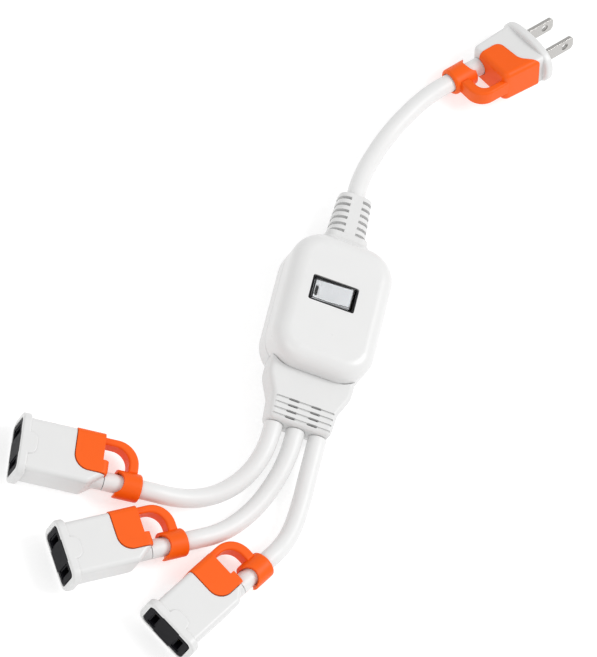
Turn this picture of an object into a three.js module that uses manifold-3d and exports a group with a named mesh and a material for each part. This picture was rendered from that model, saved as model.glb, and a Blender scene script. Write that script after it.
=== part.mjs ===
// Power cord splitter: one plug, a box with a lit overload switch and three socket ends.
// Millimetres, +Z up. The box lies on its back, centred on the origin, with its plug cord
// leaving towards +Y and its three socket cords towards -Y. The plug and the sockets lie flat.

import * as THREE from 'three';
import { mergeVertices } from 'three/addons/utils/BufferGeometryUtils.js';
import Module from 'manifold-3d';

const wasm = await Module();
wasm.setup();

// Fits
const seatGap = 0.3;
const swingGap = 0.3;

// Cord
const cordDiameter = 7.4;
const cordRadius = cordDiameter / 2;
const wireRadius = 1;

// Box
const boxWidth = 42;
const boxLength = 57;
const boxHeight = 25;
const boxCorner = 13;
const frontRound = 6.5;
const backRound = 2.5;
const wall = 2.2;
const cordHeight = 10;
const screwInset = 9;
const bossFoot = 0.3;
const screwHeadRadius = 2.2;
const screwHeadHeight = 1.6;
const screwShankRadius = 1.1;
const screwGrip = 5;
const bossRadius = 2.8;
const driverSlotWidth = 0.7;

// Switch
const windowLength = 19;
const windowWidth = 10.8;
const windowX = -2;
const windowY = 3;
const windowCorner = 0.8;
const bezelWall = 1;
const bezelSink = 0.3;
const rockerAngle = 6;
const pivotDepth = 3.8;
const pinRadius = 0.9;
const rockerWall = 0.9;
const rockerTop = 0.9;
const rockerCorner = 0.5;
const switchWall = 1.3;
const switchDepth = 14.6;
const switchFloor = 4;
const lampRadius = 1.4;
const lampLength = 5.6;
const lampInset = 2.2;
const lampHeight = 4.4;
const lampLeadWidth = 0.7;
const bladeTerminalWidth = 4.8;
const bladeTerminalThickness = 0.8;
const bladeTerminalLength = 3;
const stripThickness = 0.5;
const stripWidth = 3.2;

// Cable entry at the plug end of the box
const entryWidth = 19.5;
const entryDepth = 15;
const entryCollar = 2.6;
const stepWidth = 16.5;
const stepDepth = 12.6;
const stepLength = 2.6;
const ribCount = 6;
const ribPitch = 3;
const ribThickness = 1.75;
const ribBaseWidth = 13.6;
const ribTipWidth = 11.4;
const webWidth = 2.6;
const tongueLength = 6;
const tongueWidth = 14;

// Neck with three cords at the socket end of the box
const outletPitch = 9.1;
const neckBaseWidth = 35;
const neckTipWidth = 25.6;
const neckDepth = 12;
const neckLength = 22;
const neckSmooth = 12;
const neckBulge = 7;
const neckRound = 1.8;
const grooveCount = 4;
const groovePitch = 2.5;
const grooveWidth = 0.9;
const grooveDepth = 0.7;
const slotWidth = 4.2;
const neckTongueWidth = 27;

// Busbars inside the box
const busThickness = 0.8;
const busWidth = 4;
const liveBusY = -15.5;
const neutralBusY = -9.5;
const busBottom = wall + seatGap;
const wireHeight = busBottom + busThickness + wireRadius + seatGap;
const corePitch = 2.6;
const wirePitch = 2.5 * corePitch;
const busLength = 2 * wirePitch + corePitch + 2 * wireRadius;

// Common to the plug and the sockets
const cordOffset = 5.5;
const collarRadius = 5.5;
const ringProud = 0.4;
const ringWall = 1.4;
const saddleDepth = 2.6;
const saddleWidth = 4.1;
const strapHeight = 6.8;
const edgeRound = 2;
const cornerRound = 2.5;

// Socket end
const socketFlangeWidth = 25.6;
const socketFlangeHeight = 17;
const socketFlangeThickness = 3.5;
const socketFlangeCorner = 4.5;
const socketWidth = 21.4;
const socketHeight = 15.4;
const socketLength = 35;
const socketShortLength = 32.3;
const socketStepY = 0.6;
const socketBevelLength = 7;
const socketBevelDepth = 5.4;
const archWidth = 9;
const archReach = 3.2;
const insertWidth = 20.6;
const insertHeight = 13;
const insertCorner = 2;
const insertDepth = 21;
const insertNotch = 0.5;
const insertNotchWidth = 8.6;
const bladePitch = 12.7;
const slotLength = 8;
const slotGap = 2.4;
const facePlate = 2;
const chamberHeight = 8.8;
const chamberWidth = 4.4;
const contactLength = 15;
const contactHeight = 6.4;
const contactThickness = 0.6;
const contactGap = 1.3;
const socketPatchFront = 21.6;
const socketPatchCorner = 6;
const socketCollarFront = 40;
const socketCollarRear = 50;
const socketStrapThickness = 2.9;
const socketLoopCorner = 9;

// Plug
const plugFlangeWidth = 29;
const plugFlangeHeight = 19;
const plugFlangeThickness = 3.4;
const plugFrontWidth = 24;
const plugRearWidth = 21;
const plugHeight = 14.6;
const plugLength = 22;
const bladeWidth = 6.35;
const bladeThickness = 1.5;
const bladeReach = 16.5;
const bladeTail = 9;
const bladeHoleRadius = 1.55;
const bladeHoleInset = 4.6;
const bladeTipCut = 1.3;
const bridgeWidth = 19;
const bridgeHeight = 9;
const bridgeDepth = 7;
const bridgeCorner = 3;
const plugPatchFront = 11.5;
const plugPatchTip = 5.5;
const plugPatchCorner = 3;
const plugCollarFront = 27;
const plugCollarRear = 37.5;
const plugStrapThickness = 3.1;
const plugLoopCorner = 7;

// Where each lead ends: the cord's entry into its collar, and the way its plug or socket faces.
// The cord holds the plug rolled onto one edge.
const plugEnd = { x: 26.2, y: 118.1, turn: 49.2, roll: -24 };
const socketEnds = [
  { x: -52.6, y: -94.4, turn: 187.1, roll: 0 },
  { x: -30.6, y: -108.8, turn: 213, roll: 0 },
  { x: 1.4, y: -106.3, turn: 239.5, roll: 0 },
];

// Hand-placed points of each cord's free run, after its straight exit and before its collar
const straightExit = 3;
const straightLead = 6;
const plugRun = [
  [0.3, 60.2, 9.5],
  [1.7, 67.9, 8.1],
  [4.0, 76.4, 6.5],
  [7.0, 85.4, 5.3],
  [10.7, 94.3, 4.9],
  [14.9, 102.6, 5.3],
  [18.8, 109.0, 6.1],
];
const socketRuns = [
  [
    [-9.6, -61.6, 9.3],
    [-11.9, -70.2, 7.8],
    [-15.8, -77.3, 6.3],
    [-21.0, -83.1, 5.3],
    [-27.2, -87.5, 5.0],
    [-34.2, -90.7, 5.6],
    [-40.8, -92.6, 6.7],
  ],
  [
    [-0.2, -60.2, 9.4],
    [-1.3, -68.2, 8.0],
    [-3.4, -76.0, 6.4],
    [-6.3, -83.4, 5.4],
    [-10.3, -90.4, 5.0],
    [-15.2, -96.8, 5.6],
    [-20.4, -101.8, 6.7],
  ],
  [
    [9.2, -59.7, 9.5],
    [9.4, -66.8, 8.4],
    [9.7, -73.6, 7.3],
    [9.7, -80.0, 6.5],
    [9.3, -86.2, 6.2],
    [8.2, -92.1, 6.5],
    [6.5, -97.0, 7.0],
  ],
];

// Colours and finishes
const whitePlastic = { color: 0xf4f4f3, roughness: 0.38, metalness: 0 };
const softWhite = { color: 0xf3f3f2, roughness: 0.5, metalness: 0 };
const orangeRubber = { color: 0xfa5f28, roughness: 0.48, metalness: 0 };
const blackPlastic = { color: 0x0d0e13, roughness: 0.45, metalness: 0 };
const clearPlastic = { color: 0xdfe3e6, roughness: 0.12, metalness: 0 };
const nickel = { color: 0xc9c8c4, roughness: 0.25, metalness: 1 };
const brass = { color: 0xc9a24d, roughness: 0.32, metalness: 1 };
const zincSteel = { color: 0xb4b6b8, roughness: 0.35, metalness: 1 };
const lampGlass = { color: 0xe8b48a, roughness: 0.1, metalness: 0 };
const brownWire = { color: 0x6b3a21, roughness: 0.5, metalness: 0 };
const blueWire = { color: 0x2a5fae, roughness: 0.5, metalness: 0 };

// Solids
function solid(geometry) {
  geometry.deleteAttribute('normal');
  geometry.deleteAttribute('uv');
  const merged = mergeVertices(geometry, 1e-4);
  return new wasm.Manifold(new wasm.Mesh({
    numProp: 3,
    vertProperties: new Float32Array(merged.attributes.position.array),
    triVerts: new Uint32Array(merged.index.array),
  }));
}

function join(first, ...others) {
  return others.reduce((sum, other) => sum.add(other), first);
}

function cut(body, ...tools) {
  return tools.reduce((rest, tool) => rest.subtract(tool), body);
}

function common(first, second) {
  return first.intersect(second);
}

function block([x0, x1], [y0, y1], [z0, z1]) {
  const box = new THREE.BoxGeometry(x1 - x0, y1 - y0, z1 - z0);
  box.translate((x0 + x1) / 2, (y0 + y1) / 2, (z0 + z1) / 2);
  return solid(box);
}

const group = new THREE.Group();

function addMesh(name, body, finish, parent = group) {
  const data = body.getMesh();
  const indexed = new THREE.BufferGeometry();
  indexed.setAttribute('position', new THREE.BufferAttribute(data.vertProperties, 3));
  indexed.setIndex(new THREE.BufferAttribute(data.triVerts, 1));
  const geometry = indexed.toNonIndexed();
  geometry.computeVertexNormals();
  const mesh = new THREE.Mesh(geometry, new THREE.MeshStandardMaterial(finish));
  mesh.name = name;
  parent.add(mesh);
  return mesh;
}

// Outlines
function roundedRectangle(width, height, corner, x = 0, y = 0) {
  const radius = Math.min(corner, width / 2 - 0.01, height / 2 - 0.01);
  const right = width / 2 - radius;
  const top = height / 2 - radius;
  const shape = new THREE.Shape();
  shape.absarc(x + right, y + top, radius, 0, Math.PI / 2);
  shape.absarc(x - right, y + top, radius, Math.PI / 2, Math.PI);
  shape.absarc(x - right, y - top, radius, Math.PI, Math.PI * 1.5);
  shape.absarc(x + right, y - top, radius, Math.PI * 1.5, Math.PI * 2);
  return shape;
}

function circle(radius, sides) {
  const turn = (2 * Math.PI) / sides;
  const points = [];
  for (let side = 0; side < sides; side += 1) {
    const angle = (side + 0.5) * turn;
    points.push(new THREE.Vector2(radius * Math.cos(angle), radius * Math.sin(angle)));
  }
  return new THREE.Shape(points);
}

function polygon(points) {
  return new THREE.Shape(points.map(([x, y]) => new THREE.Vector2(x, y)));
}

// A polygon whose corners are each rounded by their own radius, given as [x, y, radius]
function softPolygon(corners, arcSteps = 4) {
  const points = [];
  corners.forEach(([x, y, radius], index) => {
    const here = new THREE.Vector2(x, y);
    if (!radius) {
      points.push(here);
      return;
    }
    const before = corners[(index + corners.length - 1) % corners.length];
    const after = corners[(index + 1) % corners.length];
    const inward = new THREE.Vector2(before[0] - x, before[1] - y).normalize();
    const outward = new THREE.Vector2(after[0] - x, after[1] - y).normalize();
    const half = Math.acos(THREE.MathUtils.clamp(inward.dot(outward), -1, 1)) / 2;
    const reach = radius / Math.tan(half);
    const start = here.clone().addScaledVector(inward, reach);
    const end = here.clone().addScaledVector(outward, reach);
    const bisector = inward.clone().add(outward).normalize();
    const centre = here.clone().addScaledVector(bisector, radius / Math.sin(half));
    const from = Math.atan2(start.y - centre.y, start.x - centre.x);
    let sweep = Math.atan2(end.y - centre.y, end.x - centre.x) - from;
    sweep -= 2 * Math.PI * Math.round(sweep / (2 * Math.PI));
    for (let step = 0; step <= arcSteps; step += 1) {
      const angle = from + (sweep * step) / arcSteps;
      points.push(new THREE.Vector2(
        centre.x + radius * Math.cos(angle),
        centre.y + radius * Math.sin(angle),
      ));
    }
  });
  return new THREE.Shape(points);
}

// Extruded slabs along each axis, with their two rims rounded where round is given
function slabGeometry(shape, low, high, round, detail) {
  const geometry = new THREE.ExtrudeGeometry(shape, {
    depth: high - low - 2 * round,
    bevelEnabled: round > 0,
    bevelThickness: round,
    bevelSize: round,
    bevelOffset: -round,
    bevelSegments: detail.rim,
    curveSegments: detail.arc,
  });
  return geometry.translate(0, 0, low + round);
}

const plain = { rim: 2, arc: 3 };
const coarse = { rim: 1, arc: 2 };
const boxDetail = { rim: 3, arc: 5 };
const cavityDetail = { rim: 1, arc: 3 };

function slabZ(shape, low, high, round = 0, detail = plain) {
  return solid(slabGeometry(shape, low, high, round, detail));
}

// The outline's first axis becomes +Y and its second +Z
function slabX(shape, low, high, round = 0, detail = plain) {
  const turned = new THREE.Matrix4().makeBasis(
    new THREE.Vector3(0, 1, 0),
    new THREE.Vector3(0, 0, 1),
    new THREE.Vector3(1, 0, 0),
  );
  return solid(slabGeometry(shape, low, high, round, detail).applyMatrix4(turned));
}

// The outline's first axis stays +X and its second becomes +Z
function slabY(shape, low, high, round = 0, detail = plain) {
  const turned = new THREE.Matrix4().makeBasis(
    new THREE.Vector3(1, 0, 0),
    new THREE.Vector3(0, 0, 1),
    new THREE.Vector3(0, -1, 0),
  );
  return solid(slabGeometry(shape, -high, -low, round, detail).applyMatrix4(turned));
}

// A tube of the given number of sides along a smooth curve through the points
function tube(points, radius, sides, steps) {
  const curve = new THREE.CatmullRomCurve3(points.map(([x, y, z]) => new THREE.Vector3(x, y, z)));
  return solid(new THREE.ExtrudeGeometry(circle(radius, sides), { steps, extrudePath: curve }));
}

// Box shells
function boxForm(inset, low, high, rim) {
  const outline = roundedRectangle(boxWidth - 2 * inset, boxLength - 2 * inset, boxCorner - inset);
  return slabZ(outline, low, high, rim, inset ? cavityDetail : boxDetail);
}

const beyond = 100;
const aboveSplit = block([-beyond, beyond], [-beyond, beyond], [cordHeight, beyond]);
const belowSplit = block([-beyond, beyond], [-beyond, beyond], [-beyond, cordHeight]);
const boxEnd = boxLength / 2;
const windowTop = boxHeight;
const wireEdge = wirePitch + corePitch / 2 + wireRadius;
const insideX = boxWidth / 2 - wall;
const insideY = boxLength / 2 - wall;
const screwX = (wireEdge + insideX) / 2;
const screwY = boxLength / 2 - screwInset;
const screwPlaces = [[-screwX, -screwY], [screwX, -screwY], [-screwX, screwY], [screwX, screwY]];
const splitTop = cordHeight + seatGap / 2;
const splitBottom = cordHeight - seatGap / 2;
const screwTip = splitTop + screwGrip;

function windowCutter() {
  const outline = roundedRectangle(windowLength, windowWidth, windowCorner, windowX, windowY);
  return slabZ(outline, windowTop - 2 * wall, windowTop + wall);
}

// The openings in the end walls that the two cord mouldings pass through
function endOpenings(gap) {
  const entry = roundedRectangle(tongueWidth + 2 * gap, stepDepth + 2 * gap, 2, 0, cordHeight);
  const neck = roundedRectangle(neckTongueWidth + 2 * gap, neckDepth + 2 * gap, 3, 0, cordHeight);
  return [
    slabY(entry, boxEnd - 2 * wall - boxCorner, boxEnd + boxCorner),
    slabY(neck, -boxEnd - boxCorner, -boxEnd + 2 * wall),
  ];
}

function makeFrontShell() {
  const outside = boxForm(0, cordHeight - frontRound, boxHeight, frontRound);
  const inside = boxForm(wall, cordHeight - frontRound, boxHeight - wall, frontRound - wall);
  const shell = cut(outside, inside, belowSplit, windowCutter());
  const bosses = screwPlaces.map(([x, y]) => slabZ(
    circle(bossRadius, 8), splitTop, boxHeight - wall + bossFoot,
  ).translate([x, y, 0]));
  const bores = screwPlaces.map(([x, y]) => slabZ(
    circle(screwShankRadius + seatGap, 6), -beyond, screwTip + seatGap,
  ).translate([x, y, 0]));
  const lift = block([-beyond, beyond], [-beyond, beyond], [-beyond, splitTop]);
  return cut(join(shell, ...bosses), ...bores, ...endOpenings(seatGap), lift);
}

function makeRearShell() {
  const outside = boxForm(0, 0, cordHeight + backRound, backRound);
  const inside = boxForm(wall, wall, cordHeight + backRound, 0);
  const shell = cut(outside, inside, aboveSplit);
  const pillars = screwPlaces.map(([x, y]) => slabZ(
    circle(bossRadius, 8), wall / 2, cordHeight,
  ).translate([x, y, 0]));
  const bores = screwPlaces.map(([x, y]) => join(
    slabZ(circle(screwShankRadius + seatGap, 6), -1, beyond),
    slabZ(circle(screwHeadRadius + seatGap, 8), -1, screwHeadHeight + 2 * seatGap),
  ).translate([x, y, 0]));
  const lift = block([-beyond, beyond], [-beyond, beyond], [splitBottom, beyond]);
  return cut(join(shell, ...pillars), ...bores, ...endOpenings(seatGap), lift);
}

function makeScrew() {
  const head = slabZ(circle(screwHeadRadius, 8), seatGap, screwHeadHeight + seatGap);
  const shank = slabZ(circle(screwShankRadius, 6), screwHeadHeight, screwTip);
  const across = [-screwHeadRadius, screwHeadRadius];
  const narrow = [-driverSlotWidth / 2, driverSlotWidth / 2];
  const deep = [0, screwHeadHeight / 2 + seatGap];
  return cut(join(head, shank), block(across, narrow, deep), block(narrow, across, deep));
}

// Switch, in a frame centred on the window with z = 0 at the front face
const switchFrame = new THREE.Group();
switchFrame.position.set(windowX, windowY, windowTop);
group.add(switchFrame);

const bezelLength = windowLength - 2 * seatGap;
const bezelWidth = windowWidth - 2 * seatGap;
const wellLength = bezelLength - 2 * bezelWall;
const wellWidth = bezelWidth - 2 * bezelWall;
const switchTop = -wall - seatGap;
const switchBottom = switchTop - switchDepth;
const floorTop = switchBottom + switchFloor;
const terminalX = [-6, 0, 6];
const swing = THREE.MathUtils.degToRad(rockerAngle);

// The rocker's half length leaves it swinging clear of the well's end walls
const rockerHalf = (wellLength / 2 - swingGap - pivotDepth * Math.sin(swing)) * Math.cos(swing);
const rockerWidth = wellWidth - 2 * swingGap;
const rockerRise = rockerHalf * Math.tan(swing);
const rockerFoot = -pivotDepth - pinRadius - rockerWall;

function makeSwitchBody() {
  const bezel = slabZ(roundedRectangle(bezelLength, bezelWidth, windowCorner), switchTop - 1, -bezelSink);
  const outline = roundedRectangle(bezelLength + 2 * switchWall, bezelWidth + 2 * switchWall, 1);
  const housing = slabZ(outline, switchBottom, switchTop);
  const well = slabZ(roundedRectangle(wellLength, wellWidth, rockerCorner), floorTop, 1);
  const pinBore = slabY(circle(pinRadius + seatGap, 10), -beyond, beyond).translate([0, 0, -pivotDepth]);
  const slots = terminalX.map((x) => block(
    [x - bladeTerminalThickness / 2 - seatGap, x + bladeTerminalThickness / 2 + seatGap],
    [-bladeTerminalWidth / 2 - seatGap, bladeTerminalWidth / 2 + seatGap],
    [switchBottom - 1, floorTop + 1],
  ));
  return cut(join(bezel, housing), well, pinBore, ...slots);
}

// The rocker is drawn level about its pin, with two faces that rise to its ends
function makeRocker() {
  const profile = polygon([
    [-rockerHalf, rockerRise], [-rockerHalf, rockerFoot], [rockerHalf, rockerFoot],
    [rockerHalf, rockerRise], [0, 0],
  ]);
  const innerHalf = rockerHalf - rockerWall;
  const innerWidth = rockerWidth / 2 - rockerWall;
  const innerRise = rockerRise - rockerTop;
  const hollow = polygon([
    [-innerHalf, innerRise], [-innerHalf, -beyond], [innerHalf, -beyond], [innerHalf, innerRise],
    [0, -rockerTop],
  ]);
  const bar = slabY(profile, -rockerWidth / 2, rockerWidth / 2);
  const outline = roundedRectangle(2 * rockerHalf, rockerWidth, rockerCorner);
  const shell = cut(common(bar, slabZ(outline, -beyond, beyond)), slabY(hollow, -innerWidth, innerWidth));
  const pinEnd = wellWidth / 2 + switchWall;
  const pinRoot = innerWidth + rockerWall / 2;
  const pins = [[-pinEnd, -pinRoot], [pinRoot, pinEnd]].map(
    ([low, high]) => slabY(circle(pinRadius, 8), low, high).translate([0, 0, -pivotDepth]),
  );
  return join(shell, ...pins).translate([0, 0, pivotDepth]);
}

// A glow lamp lying across the well on its two leads
function makeLamp() {
  const glass = slabY(circle(lampRadius, 8), -lampLength / 2, lampLength / 2, lampRadius / 2);
  const leads = [-1, 1].map((side) => {
    const y = side * (lampLength / 2 - lampLeadWidth);
    return block(
      [-lampLeadWidth / 2, lampLeadWidth / 2],
      [y - lampLeadWidth / 2, y + lampLeadWidth / 2],
      [-lampHeight + seatGap, 0],
    );
  });
  return join(glass, ...leads);
}

function makeTerminal() {
  return block(
    [-bladeTerminalThickness / 2, bladeTerminalThickness / 2],
    [-bladeTerminalWidth / 2, bladeTerminalWidth / 2],
    [switchBottom - bladeTerminalLength, floorTop - seatGap],
  );
}

function makeBimetalStrip(foot) {
  const low = floorTop + seatGap;
  const reach = terminalX[2] - terminalX[0] - 2;
  const outline = polygon([
    [-reach / 2, low], [-reach / 2 + 2, low], [-reach / 2 + 2, low + foot], [reach / 2, low + foot * 1.3],
    [reach / 2, low + foot * 1.3 + stripThickness], [-reach / 2, low + foot + stripThickness],
  ]);
  return slabY(outline, -stripWidth / 2, stripWidth / 2);
}

// Ribbed moulding at the plug end of the box
const entryInside = boxEnd - tongueLength;
const entryOutside = boxEnd + seatGap;
const stepStart = entryOutside + entryCollar;
const ribStart = stepStart + stepLength;
const entryTip = ribStart + ribCount * ribPitch;

function taperedCore(y0, y1, width0, width1, depth0, depth1, corner) {
  const levels = 2;
  const parts = [];
  for (let level = 0; level < levels; level += 1) {
    const t0 = level / levels;
    const t1 = (level + 1) / levels;
    parts.push(frustumY(
      y0 + (y1 - y0) * t0, y0 + (y1 - y0) * t1,
      [width0 + (width1 - width0) * t0, depth0 + (depth1 - depth0) * t0],
      [width0 + (width1 - width0) * t1, depth0 + (depth1 - depth0) * t1],
      corner,
    ));
  }
  return join(...parts);
}

// A straight run along +Y between two rounded rectangles, centred on the cord's height
function frustumY(y0, y1, [width0, depth0], [width1, depth1], corner) {
  const geometry = slabGeometry(roundedRectangle(1, 1, corner / width0), 0, 1, 0, coarse);
  const place = geometry.attributes.position;
  for (let index = 0; index < place.count; index += 1) {
    const along = place.getZ(index);
    const width = width0 + (width1 - width0) * along;
    const depth = depth0 + (depth1 - depth0) * along;
    const x = place.getX(index) * width;
    const z = place.getY(index) * depth + cordHeight;
    place.setXYZ(index, -x, y0 + (y1 - y0) * along, z);
  }
  return solid(geometry);
}

function makeEntryMoulding() {
  const tongue = slabY(
    roundedRectangle(tongueWidth, stepDepth, 2, 0, cordHeight), entryInside, entryOutside + 1, 0, coarse,
  );
  const collar = slabY(
    roundedRectangle(entryWidth, entryDepth, 4, 0, cordHeight), entryOutside, stepStart, 0.6, coarse,
  );
  const step = slabY(
    roundedRectangle(stepWidth, stepDepth, 3, 0, cordHeight), stepStart - 1, ribStart, 0.4, coarse,
  );
  const ribbed = taperedCore(
    ribStart - 1, entryTip, ribBaseWidth, ribTipWidth, ribBaseWidth - 1, ribTipWidth - 1, 3.6,
  );
  const slots = [];
  for (let rib = 0; rib < ribCount; rib += 1) {
    const y0 = ribStart + rib * ribPitch;
    const span = [y0, y0 + ribPitch - ribThickness];
    const t = rib / (ribCount - 1);
    const half = (ribBaseWidth + (ribTipWidth - ribBaseWidth) * t) / 2;
    const core = cordRadius + 0.9;
    const clearHalf = half - webWidth;
    for (const side of [-1, 1]) {
      const across = [side * core, side * beyond].sort((a, b) => a - b);
      const window = [-clearHalf, clearHalf];
      slots.push(block(across, span, [cordHeight - clearHalf, cordHeight + clearHalf]));
      slots.push(block(window, span, [cordHeight + across[0], cordHeight + across[1]]));
    }
  }
  return cut(join(tongue, collar, step, ribbed), ...slots);
}

// Flat neck with three cords at the socket end of the box
const neckInside = -boxEnd + tongueLength;
const neckEnd = -boxEnd - seatGap - neckLength;
const neckStart = -boxEnd - seatGap;

function makeNeckMoulding() {
  const half0 = neckBaseWidth / 2;
  const half1 = neckTipWidth / 2;
  const waist = neckStart - neckSmooth;
  const outline = softPolygon([
    [half0, neckStart + boxCorner / 2, 0],
    [-half0, neckStart + boxCorner / 2, 0],
    [-half0, neckStart - neckBulge / 2, 6],
    [-half1 - 0.8, waist, 2],
    [-half1, neckEnd, neckRound + 0.3],
    [half1, neckEnd, neckRound + 0.3],
    [half1 + 0.8, waist, 2],
    [half0, neckStart - neckBulge / 2, 6],
  ]);
  const shell = roundedRectangle(boxWidth + 2 * seatGap, boxLength + 2 * seatGap, boxCorner + seatGap);
  const body = cut(
    slabZ(outline, cordHeight - neckDepth / 2, cordHeight + neckDepth / 2, neckRound),
    slabZ(shell, -beyond, beyond, 0, boxDetail),
  );
  const tongue = slabY(
    roundedRectangle(neckTongueWidth, neckDepth, 3, 0, cordHeight), neckStart - 2, neckInside,
  );
  const cuts = [];
  for (let groove = 0; groove < grooveCount; groove += 1) {
    const y = neckEnd + groovePitch * (groove + 0.75);
    const span = [y - grooveWidth / 2, y + grooveWidth / 2];
    const surface = neckDepth / 2 - grooveDepth;
    for (const gap of [-outletPitch / 2, outletPitch / 2]) {
      cuts.push(block([gap - slotWidth / 2, gap + slotWidth / 2], span, [-beyond, beyond]));
    }
    cuts.push(block([-half1 * 0.93, half1 * 0.93], span, [cordHeight + surface, beyond]));
    cuts.push(block([-half1 * 0.93, half1 * 0.93], span, [-beyond, cordHeight - surface]));
  }
  return cut(join(body, tongue), ...cuts);
}

// Pull ring of a plug or socket end, in a frame with +X out of its face and its cord along +Y offset
function softForm(corners, height, grow) {
  const outline = softPolygon(corners.map(([x, y]) => [x, y, cornerRound + grow]), 3);
  return slabZ(outline, -height / 2 - grow, height / 2 + grow, edgeRound + grow);
}

// The strap leaves the body's side, turns a corner and reaches the collar on the cord
function strap(sideY, thickness, bodyEnd, collarFront, collarRear, corner) {
  const barRear = collarRear - 2;
  const barFront = barRear - thickness * 1.35;
  const outer = softPolygon([
    [-bodyEnd + 2, sideY, 0],
    [-barRear, sideY, corner],
    [-barRear, cordOffset - collarRadius + 1, 0],
    [-barFront, cordOffset - collarRadius + 1, 0],
    [-barFront, sideY + thickness, Math.max(corner - thickness, 2)],
    [-bodyEnd + 2, sideY + thickness, 0],
  ], 4);
  return slabZ(outer, -strapHeight / 2, strapHeight / 2, 1, coarse);
}

// A sleeve on the cord, hollowed at its front above and below
function collar(front, rear) {
  const sleeve = slabX(circle(collarRadius, 18), -rear, -front, 1, coarse).translate([0, cordOffset, 0]);
  const hollow = slabZ(circle(saddleWidth, 14), -beyond, beyond)
    .scale([saddleDepth / saddleWidth, 1, 1])
    .translate([-front, cordOffset + ringProud, 0]);
  return cut(sleeve, hollow);
}

function cordBore(front, rear) {
  const boreRadius = (cordRadius + seatGap) / Math.cos(Math.PI / 12);
  return slabX(circle(boreRadius, 12), -rear, -front).translate([0, cordOffset, 0]);
}

// Socket end
const socketSide = socketWidth / 2;

function socketForm(grow) {
  const form = softForm([
    [-socketLength - grow, -socketSide - grow],
    [beyond, -socketSide - grow],
    [beyond, socketSide + grow],
    [-socketLength + socketBevelLength, socketSide + grow],
    [-socketLength - grow, socketSide - socketBevelDepth + grow],
  ], socketHeight, grow);
  const step = block([-beyond, -socketShortLength - grow], [-beyond, socketStepY - grow], [-beyond, beyond]);
  const front = block([-socketFlangeThickness / 2, 2 * beyond], [-beyond, beyond], [-beyond, beyond]);
  return cut(form, step, front);
}

function patchOutline(front, grow) {
  return softPolygon([
    [-beyond, -beyond, 0],
    [-front + grow, -beyond, 0],
    [-front + grow, cordOffset + grow, socketPatchCorner],
    [-beyond, cordOffset + grow, 0],
  ], 5);
}

function insertOutline(grow) {
  return roundedRectangle(insertWidth + 2 * grow, insertHeight + 2 * grow, insertCorner);
}

function makeSocketBody() {
  const outside = socketForm(0);
  const core = socketForm(-ringWall);
  const patch = slabZ(patchOutline(socketPatchFront, seatGap), -beyond, beyond);
  const flange = slabX(
    roundedRectangle(socketFlangeWidth, socketFlangeHeight, socketFlangeCorner),
    -socketFlangeThickness, 0, 0.6,
  );
  const arch = common(
    slabZ(softPolygon([
      [-1, -archWidth / 2, 0], [-1, archWidth / 2, 0],
      [-socketFlangeThickness - archReach, archWidth / 2, 3],
      [-socketFlangeThickness - archReach, -archWidth / 2, 3],
    ].reverse(), 3), -socketFlangeHeight / 2, socketFlangeHeight / 2, 0.5),
    block([-beyond, 0], [-beyond, beyond], [-beyond, beyond]),
  );
  const pocket = slabX(insertOutline(seatGap), -insertDepth - seatGap, 1);
  const dent = insertNotch + seatGap;
  const notches = [-1, 1].map((side) => block(
    [-insertDepth - seatGap, 1],
    [-insertNotchWidth / 2, insertNotchWidth / 2],
    [side * insertHeight / 2 - dent, side * insertHeight / 2 + dent],
  ));
  return cut(join(cut(outside, patch), core, flange, arch), pocket, ...notches);
}

function makeSocketInsert() {
  const plug = slabX(insertOutline(0), -insertDepth, 0);
  const keys = [-1, 1].map((side) => block(
    [-insertDepth, 0],
    [-insertNotchWidth / 2 + seatGap, insertNotchWidth / 2 - seatGap],
    [side * insertHeight / 2 - insertNotch, side * insertHeight / 2 + insertNotch],
  ));
  const openings = [-1, 1].flatMap((side) => {
    const centre = (side * bladePitch) / 2;
    return [
      block([-facePlate - 1, 1], [centre - slotGap / 2, centre + slotGap / 2], [-slotLength / 2, slotLength / 2]),
      block(
        [-insertDepth + facePlate, -facePlate],
        [centre - chamberWidth / 2, centre + chamberWidth / 2],
        [-chamberHeight / 2, chamberHeight / 2],
      ),
    ];
  });
  return cut(join(plug, ...keys), ...openings);
}

// A folded spring contact: two leaves that grip a blade, joined at the back
function makeContact() {
  const front = -facePlate - seatGap;
  const back = front - contactLength;
  const half = contactGap / 2 + contactThickness;
  const flare = chamberWidth / 2 - seatGap;
  const outline = polygon([
    [front, flare - contactThickness], [front, flare], [front - 2.5, half], [back, half],
    [back, -half], [front - 2.5, -half], [front, -flare], [front, -flare + contactThickness],
    [front - 2.5, -contactGap / 2], [back + contactThickness, -contactGap / 2],
    [back + contactThickness, contactGap / 2], [front - 2.5, contactGap / 2],
  ].reverse());
  return slabZ(outline, -contactHeight / 2, contactHeight / 2);
}

function makeSocketRing() {
  const skin = socketForm(ringProud);
  const core = socketForm(seatGap - ringWall);
  const patch = slabZ(patchOutline(socketPatchFront, 0), -beyond, beyond);
  const bar = strap(
    -socketSide - ringProud, socketStrapThickness, socketShortLength,
    socketCollarFront, socketCollarRear, socketLoopCorner,
  );
  const sleeve = collar(socketCollarFront, socketCollarRear);
  const bore = cordBore(socketShortLength - 1, socketCollarRear + 1);
  return cut(join(common(skin, patch), bar, sleeve), core, bore);
}

// Plug
function plugForm(grow) {
  const taper = (plugFrontWidth - plugRearWidth) / 2 / plugLength;
  const rear = plugRearWidth / 2 + grow;
  const front = plugFrontWidth / 2 + grow + taper * plugLength;
  const form = softForm([
    [-plugLength - grow, -rear], [plugLength, -front], [plugLength, front], [-plugLength - grow, rear],
  ], plugHeight, grow);
  return cut(form, block([-plugFlangeThickness / 2, beyond], [-beyond, beyond], [-beyond, beyond]));
}

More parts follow.
